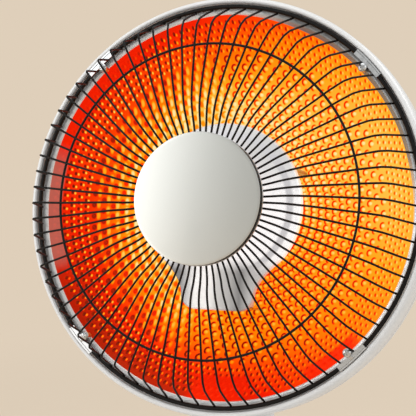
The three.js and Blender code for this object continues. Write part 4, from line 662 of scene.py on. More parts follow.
def draw_wire(shape, path, radius, sides):
    """Sweeps a round wire along a path, both in mm, and closes its ends."""
    old = set(shape.verts)
    points = [Vector(p) * MM for p in path]
    steps = [(b - a).normalized() for a, b in zip(points, points[1:])]
    runs = [steps[0]] + [(a + b).normalized() for a, b in zip(steps, steps[1:])] + [steps[-1]]
    face_on = runs[0].to_track_quat("Z", "Y").to_matrix().to_4x4()
    ring = bmesh.ops.create_circle(shape, cap_ends=True, radius=radius * MM, segments=sides,
                                   matrix=Matrix.Translation(points[0]) @ face_on)["verts"]
    edges = list({e for v in ring for e in v.link_edges})
    for i in range(1, len(points)):
        grown = bmesh.ops.extrude_edge_only(shape, edges=edges)["geom"]
        ring = [g for g in grown if isinstance(g, bmesh.types.BMVert)]
        inside = set(ring)
        edges = [g for g in grown if isinstance(g, bmesh.types.BMEdge) and set(g.verts) <= inside]
        bmesh.ops.translate(shape, vec=points[i] - points[i - 1], verts=ring)
        bmesh.ops.rotate(shape, cent=points[i], matrix=runs[i - 1].rotation_difference(runs[i]).to_matrix(),
                         verts=ring)
    bmesh.ops.edgeloop_fill(shape, edges=edges)
    return [v for v in shape.verts if v not in old]


TUBE_RADIUS = 5
RING_RADIUS = 44         # of the tube's middle line
RING_DEPTH = 20
RING_OPENING = 76        # degrees, below
LEG_FOOT = -70
LEG_BEND = -50


def tube_line(steps=72):
    """The middle line of the tube: one leg up, round the ring, and down the other leg, mm."""
    start = math.radians(RING_OPENING / 2 - 90)
    sweep = math.tau - math.radians(RING_OPENING)
    turns = [start + sweep * i / steps for i in range(steps + 1)]
    round_part = [Vector((RING_RADIUS * math.cos(t), RING_DEPTH, RING_RADIUS * math.sin(t))) for t in turns]
    lead_in = bend([(LEG_SIDE, RING_DEPTH, LEG_FOOT), (LEG_SIDE, RING_DEPTH, LEG_BEND), round_part[0]], 9)
    lead_out = bend([round_part[-1], (-LEG_SIDE, RING_DEPTH, LEG_BEND), (-LEG_SIDE, RING_DEPTH, LEG_FOOT)], 9)
    return lead_in[:-1] + round_part + lead_out[1:]


# Fused quartz: perfectly clear and thin-walled; the glow of the coil inside it is painted on as a faint orange
# emission
fused_quartz = new_finish("clear_fused_quartz")
spot = add_node(fused_quartz, "TexCoord")
draw_lines = add_node(fused_quartz, "TexNoise", {}, {"Vector": spot.outputs["Object"], "Scale": 160.0})
haze = add_node(fused_quartz, "MapRange", {},
                {"Value": draw_lines.outputs[0], "To Min": 0.02, "To Max": 0.1})
skin = add_node(fused_quartz, "BsdfPrincipled", {},
                {"Base Color": linear("#fff4e6"), "Roughness": haze, "IOR": 1.46,
                 "Transmission Weight": 1.0, "Emission Color": linear("#ff9a3c"), "Emission Strength": 0.25})
add_node(fused_quartz, "OutputMaterial", {}, {"Surface": skin})

shape = bmesh.new()
draw_wire(shape, tube_line(), TUBE_RADIUS, 20)
bmesh.ops.transform(shape, matrix=HEAD, verts=shape.verts)
dress(add_object("quartz_tube_bent", shape, fused_quartz), "head", "quartz", "quartz_tube")

# Iron-chromium alloy at orange heat: it shines by itself, paler in the middle of each turn
hot_alloy = new_finish("resistance_alloy_at_orange_heat")
edge_on = add_node(hot_alloy, "LayerWeight", {}, {"Blend": 0.4})
tone = add_node(hot_alloy, "Mix", {"data_type": "RGBA"},
                {0: edge_on.outputs["Facing"], 6: linear("#ffd98a"), 7: linear("#ff6a1c")})
skin = add_node(hot_alloy, "BsdfPrincipled", {},
                {"Base Color": linear("#5c2a16"), "Metallic": 1.0, "Roughness": 0.5,
                 "Emission Color": tone.outputs[2], "Emission Strength": 2.2})
add_node(hot_alloy, "OutputMaterial", {}, {"Surface": skin})

COIL_TURNS = 150
COIL_STEPS = 8           # places on each turn
COIL_RADIUS = 2.15
COIL_WIRE = 0.4          # radius
COIL_INSET = 4           # from each end of the tube
line = tube_line(110)
lengths = [0.0]
for a, b in zip(line, line[1:]):
    lengths.append(lengths[-1] + (b - a).length)
coil = []
where = 0
for i in range(COIL_TURNS * COIL_STEPS + 1):
    along = COIL_INSET + (lengths[-1] - 2 * COIL_INSET) * i / (COIL_TURNS * COIL_STEPS)
    while lengths[where + 1] < along:
        where += 1
    share = (along - lengths[where]) / (lengths[where + 1] - lengths[where])
    middle = line[where].lerp(line[where + 1], share)
    run = (line[where + 1] - line[where]).normalized()
    outward = run.cross(Vector((0, 1, 0)))
    turn = math.tau * i / COIL_STEPS
    coil.append(middle + COIL_RADIUS * (outward * math.cos(turn) + Vector((0, 1, 0)) * math.sin(turn)))
shape = bmesh.new()
draw_wire(shape, coil, COIL_WIRE, 5)
bmesh.ops.transform(shape, matrix=HEAD, verts=shape.verts)
dress(add_object("wound_coil", shape, hot_alloy, 80), "head", "heating_alloy", "heating_coil")

# ---- Heat shade: a bright aluminium disc with a lobe below, pressed with its rim turned back.
# It keeps the tube's glare off the room and sends its heat into the dish. It is screwed to the two
# posts and the shelf.


SHADE_RADIUS = 65
SHADE_FRONT = -0.5
SHADE_RIM = 6            # how far the rim turns back
RIM_BEND = 1.6
SHADE_SHEET = 0.9
LOBE_HALF = 30           # half the lobe's width
LOBE_BOTTOM = -82
LOBE_CORNER = 12
LOBE_LEAVES = math.radians(52)  # where the disc runs into the lobe, from straight down
LOBE_WAIST = -58


def shade_outline(steps=10):
    """The outline of the shade in the head's X and Z, mm, from the lobe's right corner round."""
    start = Vector((LOBE_HALF, LOBE_BOTTOM + LOBE_CORNER))
    reach = Vector((SHADE_RADIUS * math.sin(LOBE_LEAVES), -SHADE_RADIUS * math.cos(LOBE_LEAVES)))
    handle = Vector((LOBE_HALF, LOBE_WAIST))
    made = [Vector((LOBE_HALF - LOBE_CORNER + LOBE_CORNER * math.cos(a),
                    LOBE_BOTTOM + LOBE_CORNER + LOBE_CORNER * math.sin(a)))
            for a in [-math.pi / 2 + math.pi / 2 * i / 8 for i in range(9)]]
    for i in range(1, steps + 1):
        t = i / steps
        made.append(start * (1 - t) ** 2 + handle * 2 * t * (1 - t) + reach * t ** 2)
    sweep_from = LOBE_LEAVES - math.pi / 2
    sweep = math.tau - 2 * LOBE_LEAVES
    turns = [sweep_from + sweep * i / 120 for i in range(1, 121)]
    made += [Vector((math.cos(a), math.sin(a))) * SHADE_RADIUS for a in turns]
    made += [Vector((-p.x, p.y)) for p in reversed(made[:steps + 9])][1:]
    return made


shape = bmesh.new()
corners = [shape.verts.new((p.x * MM, SHADE_FRONT * MM, p.y * MM)) for p in shade_outline()]
panel = shape.faces.new(corners)
rim_edges = list(panel.edges)
grown = bmesh.ops.extrude_edge_only(shape, edges=rim_edges)["geom"]
bmesh.ops.translate(shape, vec=(0, SHADE_RIM * MM, 0),
                    verts=[g for g in grown if isinstance(g, bmesh.types.BMVert)])
bmesh.ops.bevel(shape, geom=rim_edges, offset=RIM_BEND * MM, affect="EDGES", segments=4, profile=0.5,
                material=-1)
bmesh.ops.recalc_face_normals(shape, faces=shape.faces)
if max(shape.faces, key=lambda f: f.calc_area()).normal.y > 0:
    bmesh.ops.reverse_faces(shape, faces=shape.faces)
bmesh.ops.solidify(shape, geom=list(shape.faces), thickness=SHADE_SHEET * MM)
bmesh.ops.transform(shape, matrix=HEAD, verts=shape.verts)

# Bright aluminium sheet, brushed after pressing: pale and soft. Its colour holds painted reflections:
# broad upright bands in the lobe and a disc painted darker towards its top, and a darker ring near the disc's
# rim
polished = new_finish("polished_aluminium_sheet")
spot = add_node(polished, "TexCoord")
own = add_node(polished, "Mapping", {"vector_type": "TEXTURE"},
               {"Vector": spot.outputs["Object"], "Location": HEAD.translation, "Rotation": HEAD.to_euler()})
split = add_node(polished, "SeparateXYZ", {}, {0: own})
# Painted reflection: broad upright bands across the lobe
across = add_node(polished, "MapRange", {},
                  {"Value": split.outputs[0], "From Min": -0.034, "From Max": 0.034})
lobe = add_node(polished, "ValToRGB", {}, {0: across})
stops = ((0.04, "#78787a"), (0.12, "#b4b4b4"), (0.24, "#f0f0f0"), (0.42, "#f4f4f4"), (0.50, "#d0d0d0"),
         (0.66, "#b8b8b8"), (0.78, "#8a8a8b"), (0.90, "#c2c2c2"), (1.0, "#d0d0d0"))
while len(lobe.color_ramp.elements) < len(stops):
    lobe.color_ramp.elements.new(0.5)
for element, (position, code) in zip(lobe.color_ramp.elements, stops):
    element.position = position
    element.color = linear(code)
flat = add_node(polished, "VectorMath", {"operation": "MULTIPLY"}, {0: own, 1: (1 / MM, 0, 1 / MM)})
reach = add_node(polished, "VectorMath", {"operation": "LENGTH"}, {0: flat})
ring_gap = add_node(polished, "Math", {"operation": "SUBTRACT"}, {0: reach.outputs["Value"], 1: 56.0})
ring_gap = add_node(polished, "Math", {"operation": "ABSOLUTE"}, {0: ring_gap})
ring = add_node(polished, "MapRange", {"interpolation_type": "SMOOTHSTEP"},
                {"Value": ring_gap, "From Min": 4.0, "From Max": 1.5})
# Painted reflection: the disc darkens towards its top
height = add_node(polished, "MapRange", {"interpolation_type": "SMOOTHSTEP"},
                  {"Value": split.outputs[2], "From Min": 0.005, "From Max": 0.045})
disc = add_node(polished, "Mix", {"data_type": "RGBA"},
                {0: height, 6: linear("#f2f2f3"), 7: linear("#c4c4c4")})
disc = add_node(polished, "Mix", {"data_type": "RGBA"}, {0: ring, 6: disc.outputs[2], 7: linear("#c2c2c5")})
low = add_node(polished, "MapRange", {"interpolation_type": "SMOOTHSTEP"},
               {"Value": split.outputs[2], "From Min": -0.038, "From Max": -0.054})
tone = add_node(polished, "Mix", {"data_type": "RGBA"}, {0: low, 6: disc.outputs[2], 7: lobe})
rolled = add_node(polished, "TexNoise", {}, {"Vector": own, "Scale": 220.0, "Detail": 4.0})
gloss = add_node(polished, "MapRange", {}, {"Value": rolled.outputs[0], "To Min": 0.38, "To Max": 0.46})
# The bright room's reflection is painted on as an even emission from the brushed face, between and behind the
# wires
even = add_node(polished, "MapRange", {}, {"Value": low, "To Min": 0.6, "To Max": 0.3})
skin = add_node(polished, "BsdfPrincipled", {},
                {"Base Color": tone.outputs[2], "Metallic": 0.5, "Roughness": gloss,
                 "Emission Color": tone.outputs[2], "Emission Strength": even})
add_node(polished, "OutputMaterial", {}, {"Surface": skin})
dress(add_object("shade_panel", shape, polished), "head", "bright_aluminium", "heat_shade")

# ---- Wire guard: 72 steel wires bent over a forming ring and welded, then dipped in black enamel.
# Each wire runs out from under the cap, drops over a knuckle near the edge and ends on the thick outer
# ring. Two thinner rings behind hold the wires apart.

# Black enamel on wire: deep black, semi-gloss, slightly thick and uneven over the welds. Its IOR is low
# for enamel, so that the wires stay black against the bright room
black_enamel = new_finish("black_enamelled_wire")
spot = add_node(black_enamel, "TexCoord")
flow = add_node(black_enamel, "TexNoise", {}, {"Vector": spot.outputs["Object"], "Scale": 260.0, "Detail": 2.0})
bump = add_node(black_enamel, "Bump", {}, {"Strength": 0.25, "Distance": 0.0002, "Height": flow.outputs[0]})
gloss = add_node(black_enamel, "MapRange", {}, {"Value": flow.outputs[0], "To Min": 0.42, "To Max": 0.6})
skin = add_node(black_enamel, "BsdfPrincipled", {},
                {"Base Color": linear("#0b0807"), "Roughness": gloss, "IOR": 1.3, "Normal": bump})
add_node(black_enamel, "OutputMaterial", {}, {"Surface": skin})

WIRES = 72
FIRST_WIRE = 2.5         # degrees
WIRE_RADIUS = 0.85
OUTER_RING = 158         # radius of its middle line
OUTER_RING_WIRE = 1.75
MIDDLE_RING = 121
MIDDLE_RING_DEPTH = -38.45
HUB_BAND = (46.6, 49.2)
HUB_BAND_FRONT = -55.9
HUB_BAND_BACK = -50.4
# Each point is a radius, a depth in mm and a lead round the axis in degrees. All wires share the first
# part; over the knuckle the ones on the left stand fuller than the others.
TO_RING = ((49.6, -47.0, 1.5), (58, -47.3, 1.5), (64, -48.4, 1.45), (70, -49.7, 1.2), (76, -49.8, 1.0),
           (86, -48.0, 0.75), (98, -44.9, 0.48), (114, -40.4, 0.15), (121, -38.9, 0.05))
SLACK = ((128, -36.6, -0.06), (138, -32.7, -0.24), (144, -26.5, -0.5), (150, -14.1, -0.8),
         (156.2, 0.6, -1.0))
FULL = ((128, -38.2, -0.06), (138, -37.4, -0.2), (147.5, -36.0, -0.3), (151.5, -20.0, -0.3),
        (156.2, 0.6, -0.3))
shape = bmesh.new()
for i in range(WIRES):
    angle = FIRST_WIRE + 360 / WIRES * i
    full = smooth_step(0.0, 0.75, -math.cos(math.radians(angle)))
    knuckle = [Vector(a).lerp(Vector(b), full) for a, b in zip(SLACK, FULL)]
    path = []
    for radius, depth, lead in [*TO_RING, *knuckle]:
        turn = math.radians(angle + lead)
        path.append(Vector((radius * math.cos(turn), depth, radius * math.sin(turn))))
    wire = bmesh.new()
    draw_wire(wire, bend(path, 7, 2), WIRE_RADIUS, 8)
    wire_mesh = bpy.data.meshes.new("wire")
    wire.to_mesh(wire_mesh)
    wire.free()
    shape.from_mesh(wire_mesh)
    bpy.data.meshes.remove(wire_mesh)
bmesh.ops.transform(shape, matrix=HEAD, verts=shape.verts)
turns = [math.tau * i / 16 for i in range(16)]
circle = [(OUTER_RING + OUTER_RING_WIRE * math.cos(a), OUTER_RING_WIRE * math.sin(a)) for a in turns]
turn_profile(shape, circle, 288, DEPTHS)
dress(add_object("guard_wires", shape, black_enamel, 60), "head", "black_wire", "wire_guard")

shape = bmesh.new()
turns = [math.tau * i / 12 for i in range(12)]
circle = [(MIDDLE_RING + math.cos(a), MIDDLE_RING_DEPTH + math.sin(a)) for a in turns]
turn_profile(shape, circle, 216, DEPTHS)
dress(add_object("middle_wire_ring", shape, black_enamel, 60), "head", "black_wire", "guard_middle_ring")

shape = bmesh.new()
turn_profile(shape, [(HUB_BAND[0], HUB_BAND_FRONT), (HUB_BAND[1], HUB_BAND_FRONT),
                     (HUB_BAND[1], HUB_BAND_BACK), (HUB_BAND[0], HUB_BAND_BACK)], 144, DEPTHS)
dress(add_object("hub_ring_band", shape, black_enamel), "head", "black_wire", "guard_hub_ring")

# ---- Centre cap: a slightly domed disc spun from aluminium, with a fine satin face.
# Its boss passes between the ends of the wires, and a plate and a screw behind pull it against them.

# Satin aluminium: fine grain, no sharp reflections, a broad soft sheen that rolls across the disc
satin = new_finish("satin_aluminium")
spot = add_node(satin, "TexCoord")
grit = add_node(satin, "TexNoise", {}, {"Vector": spot.outputs["Object"], "Scale": 2200.0, "Detail": 2.0})
gloss = add_node(satin, "MapRange", {}, {"Value": grit.outputs[0], "To Min": 0.26, "To Max": 0.36})
tone = add_node(satin, "Mix", {"data_type": "RGBA"},
                {0: grit.outputs[0], 6: linear("#c6c7c3"), 7: linear("#cecfcb")})
skin = add_node(satin, "BsdfPrincipled", {},
                {"Base Color": tone.outputs[2], "Metallic": 1.0, "Roughness": gloss})
add_node(satin, "OutputMaterial", {}, {"Surface": skin})

CAP_FACE = 50            # radius of the domed face
CAP_FRONT = -57.85
CAP_FALL = 1.2           # from its middle to its edge
CAP_BACK = -56.15
BOSS_RADIUS = 6
BOSS_END = -51.45
shape = bmesh.new()
dome = [(CAP_FACE * i / 24, CAP_FRONT + CAP_FALL * (i / 24) ** 2) for i in range(25)]
turn_profile(shape, dome + [(50.3, -56.6), (50.45, -56.42), (50.4, -56.2), (50.2, CAP_BACK),
                            (BOSS_RADIUS, CAP_BACK), (BOSS_RADIUS, BOSS_END), (0, BOSS_END)], 192,
             DEPTHS, ring=False)
dress(add_object("satin_cap", shape, satin), "head", "satin_aluminium", "centre_cap")

PLATE_RADIUS = 50.7
PLATE_FRONT = -50.35
PLATE_BACK = -49.15
shape = bmesh.new()
turn_profile(shape, [(2, PLATE_FRONT), (50.5, PLATE_FRONT), (PLATE_RADIUS, -50.15), (PLATE_RADIUS, -49.35),
                     (50.5, PLATE_BACK), (2, PLATE_BACK)], 144, DEPTHS)
dress(add_object("clamp_disc", shape, zinc), "head", "zinc_steel", "cap_clamp_plate")

# ---- Clips and screws of the guard: four folded steel clips hold its ring to the flange of the dish.
# A pan-head screw with a cross recess goes through the tab of each clip and the flange into the ledge.
CLIP_ARC = math.radians(9.6)
CLIP_BACK = -1.85
SCREW_CIRCLE = 153.2
FIRST_CLIP = math.radians(45)


def repeat_round(shape):
    """Copies a shape three times round local Z, a quarter turn apart."""
    bmesh.ops.spin(shape, geom=list(shape.verts) + list(shape.edges) + list(shape.faces), cent=(0, 0, 0),
                   axis=(0, 0, 1), angle=math.radians(270), steps=3, use_duplicate=True)


# A wide strip lies over the guard's ring, and a narrow one stands along its outer side
shape = bmesh.new()
for inner, outer, front in ((156.1, 159.25, -2.7), (159.5, 160.85, -3.1)):
    outline = ((inner, front), (outer, front), (outer, CLIP_BACK), (inner, CLIP_BACK))
    section = [shape.verts.new((radius * MM, 0, depth * MM)) for radius, depth in outline]
    section_face = shape.faces.new(section)
    bmesh.ops.rotate(shape, verts=section, cent=(0, 0, 0), matrix=Matrix.Rotation(-CLIP_ARC / 2, 3, "Z"))
    bmesh.ops.spin(shape, geom=[section_face], axis=(0, 0, 1), cent=(0, 0, 0), angle=CLIP_ARC, steps=10)
bmesh.ops.remove_doubles(shape, verts=shape.verts, dist=DOUBLES)
add_box(shape, (151.2, -1.9, -2.9), (159.3, 1.9, CLIP_BACK), 0.3, 2)
turn_profile(shape, [(1.8, -1.9), (2.6, -1.9), (2.6, 3.2), (1.8, 3.2)], 24,
             Matrix.Translation((SCREW_CIRCLE * MM, 0, 0)))
bmesh.ops.rotate(shape, verts=shape.verts, cent=(0, 0, 0), matrix=Matrix.Rotation(FIRST_CLIP, 3, "Z"))
repeat_round(shape)
bmesh.ops.transform(shape, matrix=DEPTHS, verts=shape.verts)
dress(add_object("guard_clips", shape, zinc), "head", "zinc_steel",
      "guard_clip_1", "guard_clip_2", "guard_clip_3", "guard_clip_4")

HEAD_SEAT = -3.4         # where the screw's head rests on the clip
HEAD_RADIUS = 3.5
HEAD_HEIGHT = 2.2
SHANK_RADIUS = 1.5
SCREW_TIP = 9.6
THREAD_PITCH = 0.8
CROSS_TURN = math.radians(20)
root = SHANK_RADIUS * 0.8
top = HEAD_SEAT - HEAD_HEIGHT
crown = [(HEAD_RADIUS * math.sin(a), top + HEAD_HEIGHT * 0.75 * (1 - math.cos(a)))
         for a in [math.radians(90) * i / 8 for i in range(9)]]
thread = []
at = HEAD_SEAT
while at + THREAD_PITCH < SCREW_TIP - 1:
    thread += [(root, at + 0.1), (SHANK_RADIUS, at + 0.4), (root, at + 0.7)]
    at += THREAD_PITCH
shape = bmesh.new()
turn_profile(shape, [(0, top)] + crown[1:] + [(HEAD_RADIUS, HEAD_SEAT - 0.1), (HEAD_RADIUS - 0.1, HEAD_SEAT)]
             + thread + [(root, SCREW_TIP - 1), (0, SCREW_TIP)], 32, ring=False)
bmesh.ops.remove_doubles(shape, verts=shape.verts, dist=DOUBLES)
screw = add_object("guard_screws", shape, zinc)
for long, wide in ((2.0, 0.42), (0.42, 2.0)):  # the two slots of the cross, one after the other
    cutter = bmesh.new()
    add_box(cutter, (-long, -wide, -6.6), (long, wide, -4.3))
    cut_out(screw, cutter)
shape = bmesh.new()
shape.from_mesh(screw.data)
bmesh.ops.transform(shape, verts=shape.verts, matrix=Matrix.Rotation(FIRST_CLIP, 4, "Z")
                    @ Matrix.Translation((SCREW_CIRCLE * MM, 0, 0)) @ Matrix.Rotation(CROSS_TURN, 4, "Z"))
repeat_round(shape)
bmesh.ops.transform(shape, matrix=DEPTHS, verts=shape.verts)
shape.to_mesh(screw.data)
shape.free()
dress(screw, "head", "zinc_steel", "guard_screw_1", "guard_screw_2", "guard_screw_3", "guard_screw_4")

# ---- Carrying handle: a bow moulded in grey polypropylene, screwed to the housing from inside.
# It keeps the hand away from the warm shell and leaves room for four fingers.

# Grey polypropylene: satin, faintly speckled by the spark-eroded mould
grey_plastic = new_finish("moulded_grey_polypropylene")
spot = add_node(grey_plastic, "TexCoord")
erosion = add_node(grey_plastic, "TexNoise", {}, {"Vector": spot.outputs["Object"], "Scale": 1100.0,
                                                           "Detail": 3.0})
tone = add_node(grey_plastic, "Mix", {"data_type": "RGBA"},
                {0: erosion.outputs[0], 6: linear("#84878a"), 7: linear("#9a9da0")})
bump = add_node(grey_plastic, "Bump", {}, {"Strength": 0.35, "Distance": 0.0002,
                                                    "Height": erosion.outputs[0]})
skin = add_node(grey_plastic, "BsdfPrincipled", {},
                {"Base Color": tone.outputs[2], "Roughness": 0.45, "IOR": 1.49, "Normal": bump})
add_node(grey_plastic, "OutputMaterial", {}, {"Surface": skin})

GRIP_RADIUS = 7
GRIP_HALF = 46           # from the middle to each arm
GRIP_REACH = 129.3       # how far its bar stands back
GRIP_LEVEL = 76
shape = bmesh.new()
draw_wire(shape, bend([(-GRIP_HALF, 84, GRIP_LEVEL), (-GRIP_HALF, GRIP_REACH, GRIP_LEVEL),
                       (GRIP_HALF, GRIP_REACH, GRIP_LEVEL), (GRIP_HALF, 84, GRIP_LEVEL)], 16, 10),
          GRIP_RADIUS, 24)
bmesh.ops.transform(shape, matrix=HEAD, verts=shape.verts)
dress(add_object("handle_bow", shape, grey_plastic), "head", "grey_plastic", "carry_handle")

# ---- Tilt joint: a grey bracket with two ears on the housing, a steel bolt and a nut.
# The bolt squeezes the ears on the barrel of the neck, so the head stays where it is set.


def copy_of_solid(node, width, segments=2):
    """A merged copy of a plain solid, with flat faces made whole and its edges rounded."""
    shape = bmesh.new()
    shape.from_mesh(frame["nodes"][node].data)
    bmesh.ops.remove_doubles(shape, verts=shape.verts, dist=DOUBLES)
    bmesh.ops.dissolve_limit(shape, angle_limit=math.radians(1), verts=shape.verts, edges=shape.edges)
    soften(shape, width, segments)
    return shape


dress(add_object("tilt_ears", copy_of_solid("tilt_bracket", 0.5), grey_plastic), "head", "grey_plastic",
      "tilt_bracket")
AXLE = Matrix.Translation(pivot) @ Matrix.Rotation(math.radians(90), 4, "Y")  # local Z runs to the right
BOLT_RADIUS = 3
BOLT_HEAD = 6
shape = bmesh.new()
turn_profile(shape, [(0, -26.2), (5, -26.2), (BOLT_HEAD, -25.2), (BOLT_HEAD, -22.8), (5.8, -22.6),
                     (BOLT_RADIUS, -22.6), (BOLT_RADIUS, 27.6), (2.4, 28.2), (0, 28.2)], 32, AXLE, ring=False)
dress(add_object("pivot_bolt", shape, zinc), "head", "zinc_steel", "tilt_bolt")
shape = copy_of_solid("tilt_nut", 0.3)
dress(add_object("pivot_nut", shape, zinc), "head", "zinc_steel", "tilt_nut")

# ---- Neck: two oval half shells of white ABS that bow backwards from the foot to the tilt joint.
# They are screwed together over a grey core, whose foot turns on the base and whose barrel takes the
# pivot bolt.
NECK_LINE = [Vector(p) for p in ((0, 0, 60.4), (0, 0, 114.2), (0, 37.44, 139.7), (0, 49.4, 202))]
FOOT_HALF_WIDTH, TOP_HALF_WIDTH = 28, 17.4
FOOT_HALF_DEPTH, TOP_HALF_DEPTH = 22, 13.5
SEAM = 0.012             # half the gap between the shells, as a share of the depth


def on_line(share):
    """Place and direction on the neck's line at a share of its length, mm."""
    a, b, c, d = NECK_LINE
    rest = 1 - share
    at = a * rest ** 3 + b * 3 * rest ** 2 * share + c * 3 * rest * share ** 2 + d * share ** 3
    run = (b - a) * 3 * rest ** 2 + (c - b) * 6 * rest * share + (d - c) * 3 * share ** 2
    return at, run.normalized()


def neck_place(share):
    """Stands a flat unit oval square to the neck's line, as wide and deep as the neck is there."""
    at, run = on_line(share)
    lean = Matrix.Rotation(math.atan2(-run.y, run.z), 4, "X")
    width = FOOT_HALF_WIDTH + (TOP_HALF_WIDTH - FOOT_HALF_WIDTH) * share
    depth = FOOT_HALF_DEPTH + (TOP_HALF_DEPTH - FOOT_HALF_DEPTH) * share
    return Matrix.Translation(at * MM) @ lean @ Matrix.Diagonal((width * MM, depth * MM, 1, 1))


STATIONS = 28
for name, node, side in (("neck_front", "neck_front_shell", -1), ("neck_rear", "neck_rear_shell", 1)):
    shape = bmesh.new()
    arc = [math.pi * i / 28 for i in range(29)]
    section = [(math.cos(a), side * (SEAM + (1 - SEAM) * math.sin(a))) for a in arc]
    section += [(0.92 * math.cos(a), side * (SEAM + (0.9 - SEAM) * math.sin(a))) for a in reversed(arc)]
    ring = [shape.verts.new((x, y, 0)) for x, y in section]
    shape.faces.new(ring)
    edges = list(shape.edges)
    bmesh.ops.transform(shape, matrix=neck_place(0), verts=ring)
    for i in range(1, STATIONS + 1):
        grown = bmesh.ops.extrude_edge_only(shape, edges=edges)["geom"]
        ring = [g for g in grown if isinstance(g, bmesh.types.BMVert)]
        inside = set(ring)
        edges = [g for g in grown if isinstance(g, bmesh.types.BMEdge) and set(g.verts) <= inside]
        step = neck_place(i / STATIONS) @ neck_place((i - 1) / STATIONS).inverted()
        bmesh.ops.transform(shape, matrix=step, verts=ring)
    bmesh.ops.edgeloop_fill(shape, edges=edges)
    bmesh.ops.recalc_face_normals(shape, faces=shape.faces)
    soften(shape, 0.25, 2, 50)
    dress(add_object(name, shape, white_abs), "neck", "white_plastic", node)

shape = bmesh.new()
turn_profile(shape, [(3.1, -18), (11.4, -18), (12, -17.4), (12, 17.4), (11.4, 18), (3.1, 18)], 64, AXLE)
add_box(shape, (-7.7, 43.4, 198), (7.7, 56.8, 208), 0.8, 2)
dress(add_object("barrel", shape, grey_plastic), "neck", "grey_plastic", "tilt_barrel")

FOOT_BORE = 7.3
FOOT_UNDER = 52.1
FOOT_TOP = 60.1
FOOT_ROUND = 2.5
turns = [math.pi / 2 * i / 6 for i in range(7)]
corner = [(31.5 + FOOT_ROUND * math.cos(a), 57.6 + FOOT_ROUND * math.sin(a)) for a in turns]
shape = bmesh.new()
turn_profile(shape, [(FOOT_BORE, FOOT_UNDER), (33, FOOT_UNDER), (34, 53.1)] + corner
             + [(FOOT_BORE, FOOT_TOP)], 120)
soften(shape, 0.3, 2)
dress(add_object("swivel_foot", shape, grey_plastic), "neck", "grey_plastic", "neck_foot")

# ---- Base: a broad round foot moulded in white ABS over a steel plate and a cast-iron weight.
# Its top slopes gently to a rounded shoulder. Four rubber pads stand on the table and four screws hold
# the plate from below.
BASE_RADIUS = 115
BASE_TOP = 50
BASE_FOOT = 3
BASE_WALL = 2.5
FLAT_TOP = 37            # radius of the flat middle
BASE_BORE = 11.05
SLOPE = math.radians(12.21)             # of the top, outside its flat middle
CONTROL_PLACE = (0, -0.076, 0.04156)    # on the slope, metres
CORD_PLACE = (0, 0, 0.018)              # height of the cord's hole, metres
shoulder = bend([(FLAT_TOP, BASE_TOP, 0), (104, 35.5, 0), (114.4, 29, 0), (BASE_RADIUS, 21.3, 0),
                 (BASE_RADIUS, BASE_FOOT, 0)], 9, 8)
outside = [(p.x, p.y) for p in shoulder]
inner_side = [(BASE_RADIUS - BASE_WALL, BASE_FOOT), (BASE_RADIUS - BASE_WALL, 21), (108.7, 28.5),
              (102, 33.2), (FLAT_TOP, BASE_TOP - BASE_WALL), (BASE_BORE, BASE_TOP - BASE_WALL)]
shape = bmesh.new()
turn_profile(shape, [(BASE_BORE, BASE_TOP)] + outside + inner_side, 240)
base = add_object("base_dome", shape, white_abs)


def on_top(angle):
    """The place of a control on the sloping top; angle runs round the base from its front."""
    return (Matrix.Rotation(math.radians(angle), 4, "Z") @ Matrix.Translation(CONTROL_PLACE)
            @ Matrix.Rotation(SLOPE, 4, "X"))


CORD_HOLE = Matrix.Translation(CORD_PLACE) @ Matrix.Rotation(math.radians(-90), 4, "X")
LAMP_ANGLE, KNOB_ANGLE, BUTTON_ANGLE = -26, 0, 26
cutter = bmesh.new()
turn_profile(cutter, [(0, 90), (6.5, 90), (6.5, 110.9), (9.3, 110.9), (9.3, 120), (0, 120)], 48,
             CORD_HOLE, ring=False)
for angle, radius in ((LAMP_ANGLE, 3.3), (KNOB_ANGLE, 3.4), (BUTTON_ANGLE, 6.4)):
    turn_profile(cutter, [(0, -8), (radius, -8), (radius, 6), (0, 6)], 40, on_top(angle), ring=False)
bmesh.ops.remove_doubles(cutter, verts=cutter.verts, dist=DOUBLES)
cut_out(base, cutter)
dress(base, "base", "white_plastic", "base_shell")

shape = bmesh.new()
turn_profile(shape, [(0, 3.3), (112, 3.3), (112.2, 3.5), (112.2, 5.1), (112, 5.3), (0, 5.3)], 180, ring=False)
dress(add_object("floor_plate", shape, zinc), "base", "zinc_steel", "base_plate")

# Moulded rubber: matt near-black with a fine dry grain
rubber = new_finish("moulded_black_rubber")
spot = add_node(rubber, "TexCoord")
dry = add_node(rubber, "TexNoise", {},
               {"Vector": spot.outputs["Object"], "Scale": 1300.0, "Detail": 3.0})
tone = add_node(rubber, "Mix", {"data_type": "RGBA"},
                {0: dry.outputs[0], 6: linear("#18181a"), 7: linear("#2a2a2c")})
bump = add_node(rubber, "Bump", {}, {"Strength": 0.4, "Distance": 0.0002, "Height": dry.outputs[0]})
skin = add_node(rubber, "BsdfPrincipled", {},
                {"Base Color": tone.outputs[2], "Roughness": 0.8, "IOR": 1.52, "Normal": bump})
add_node(rubber, "OutputMaterial", {}, {"Surface": skin})

PAD_CIRCLE = 98
for name, number, x, y in (("pad_1", 1, 1, 1), ("pad_2", 2, -1, 1), ("pad_3", 3, -1, -1), ("pad_4", 4, 1, -1)):
    shape = bmesh.new()
    at = Matrix.Translation(Vector((x, y, 0)).normalized() * PAD_CIRCLE * MM)
    turn_profile(shape, [(0, 0), (6.6, 0), (7.4, 0.2), (7.9, 0.8), (8, 1.4), (8, BASE_FOOT), (0, BASE_FOOT)],
                 40, at, ring=False)
    dress(add_object(name, shape, rubber), "base", "black_rubber", f"foot_pad_{number}")

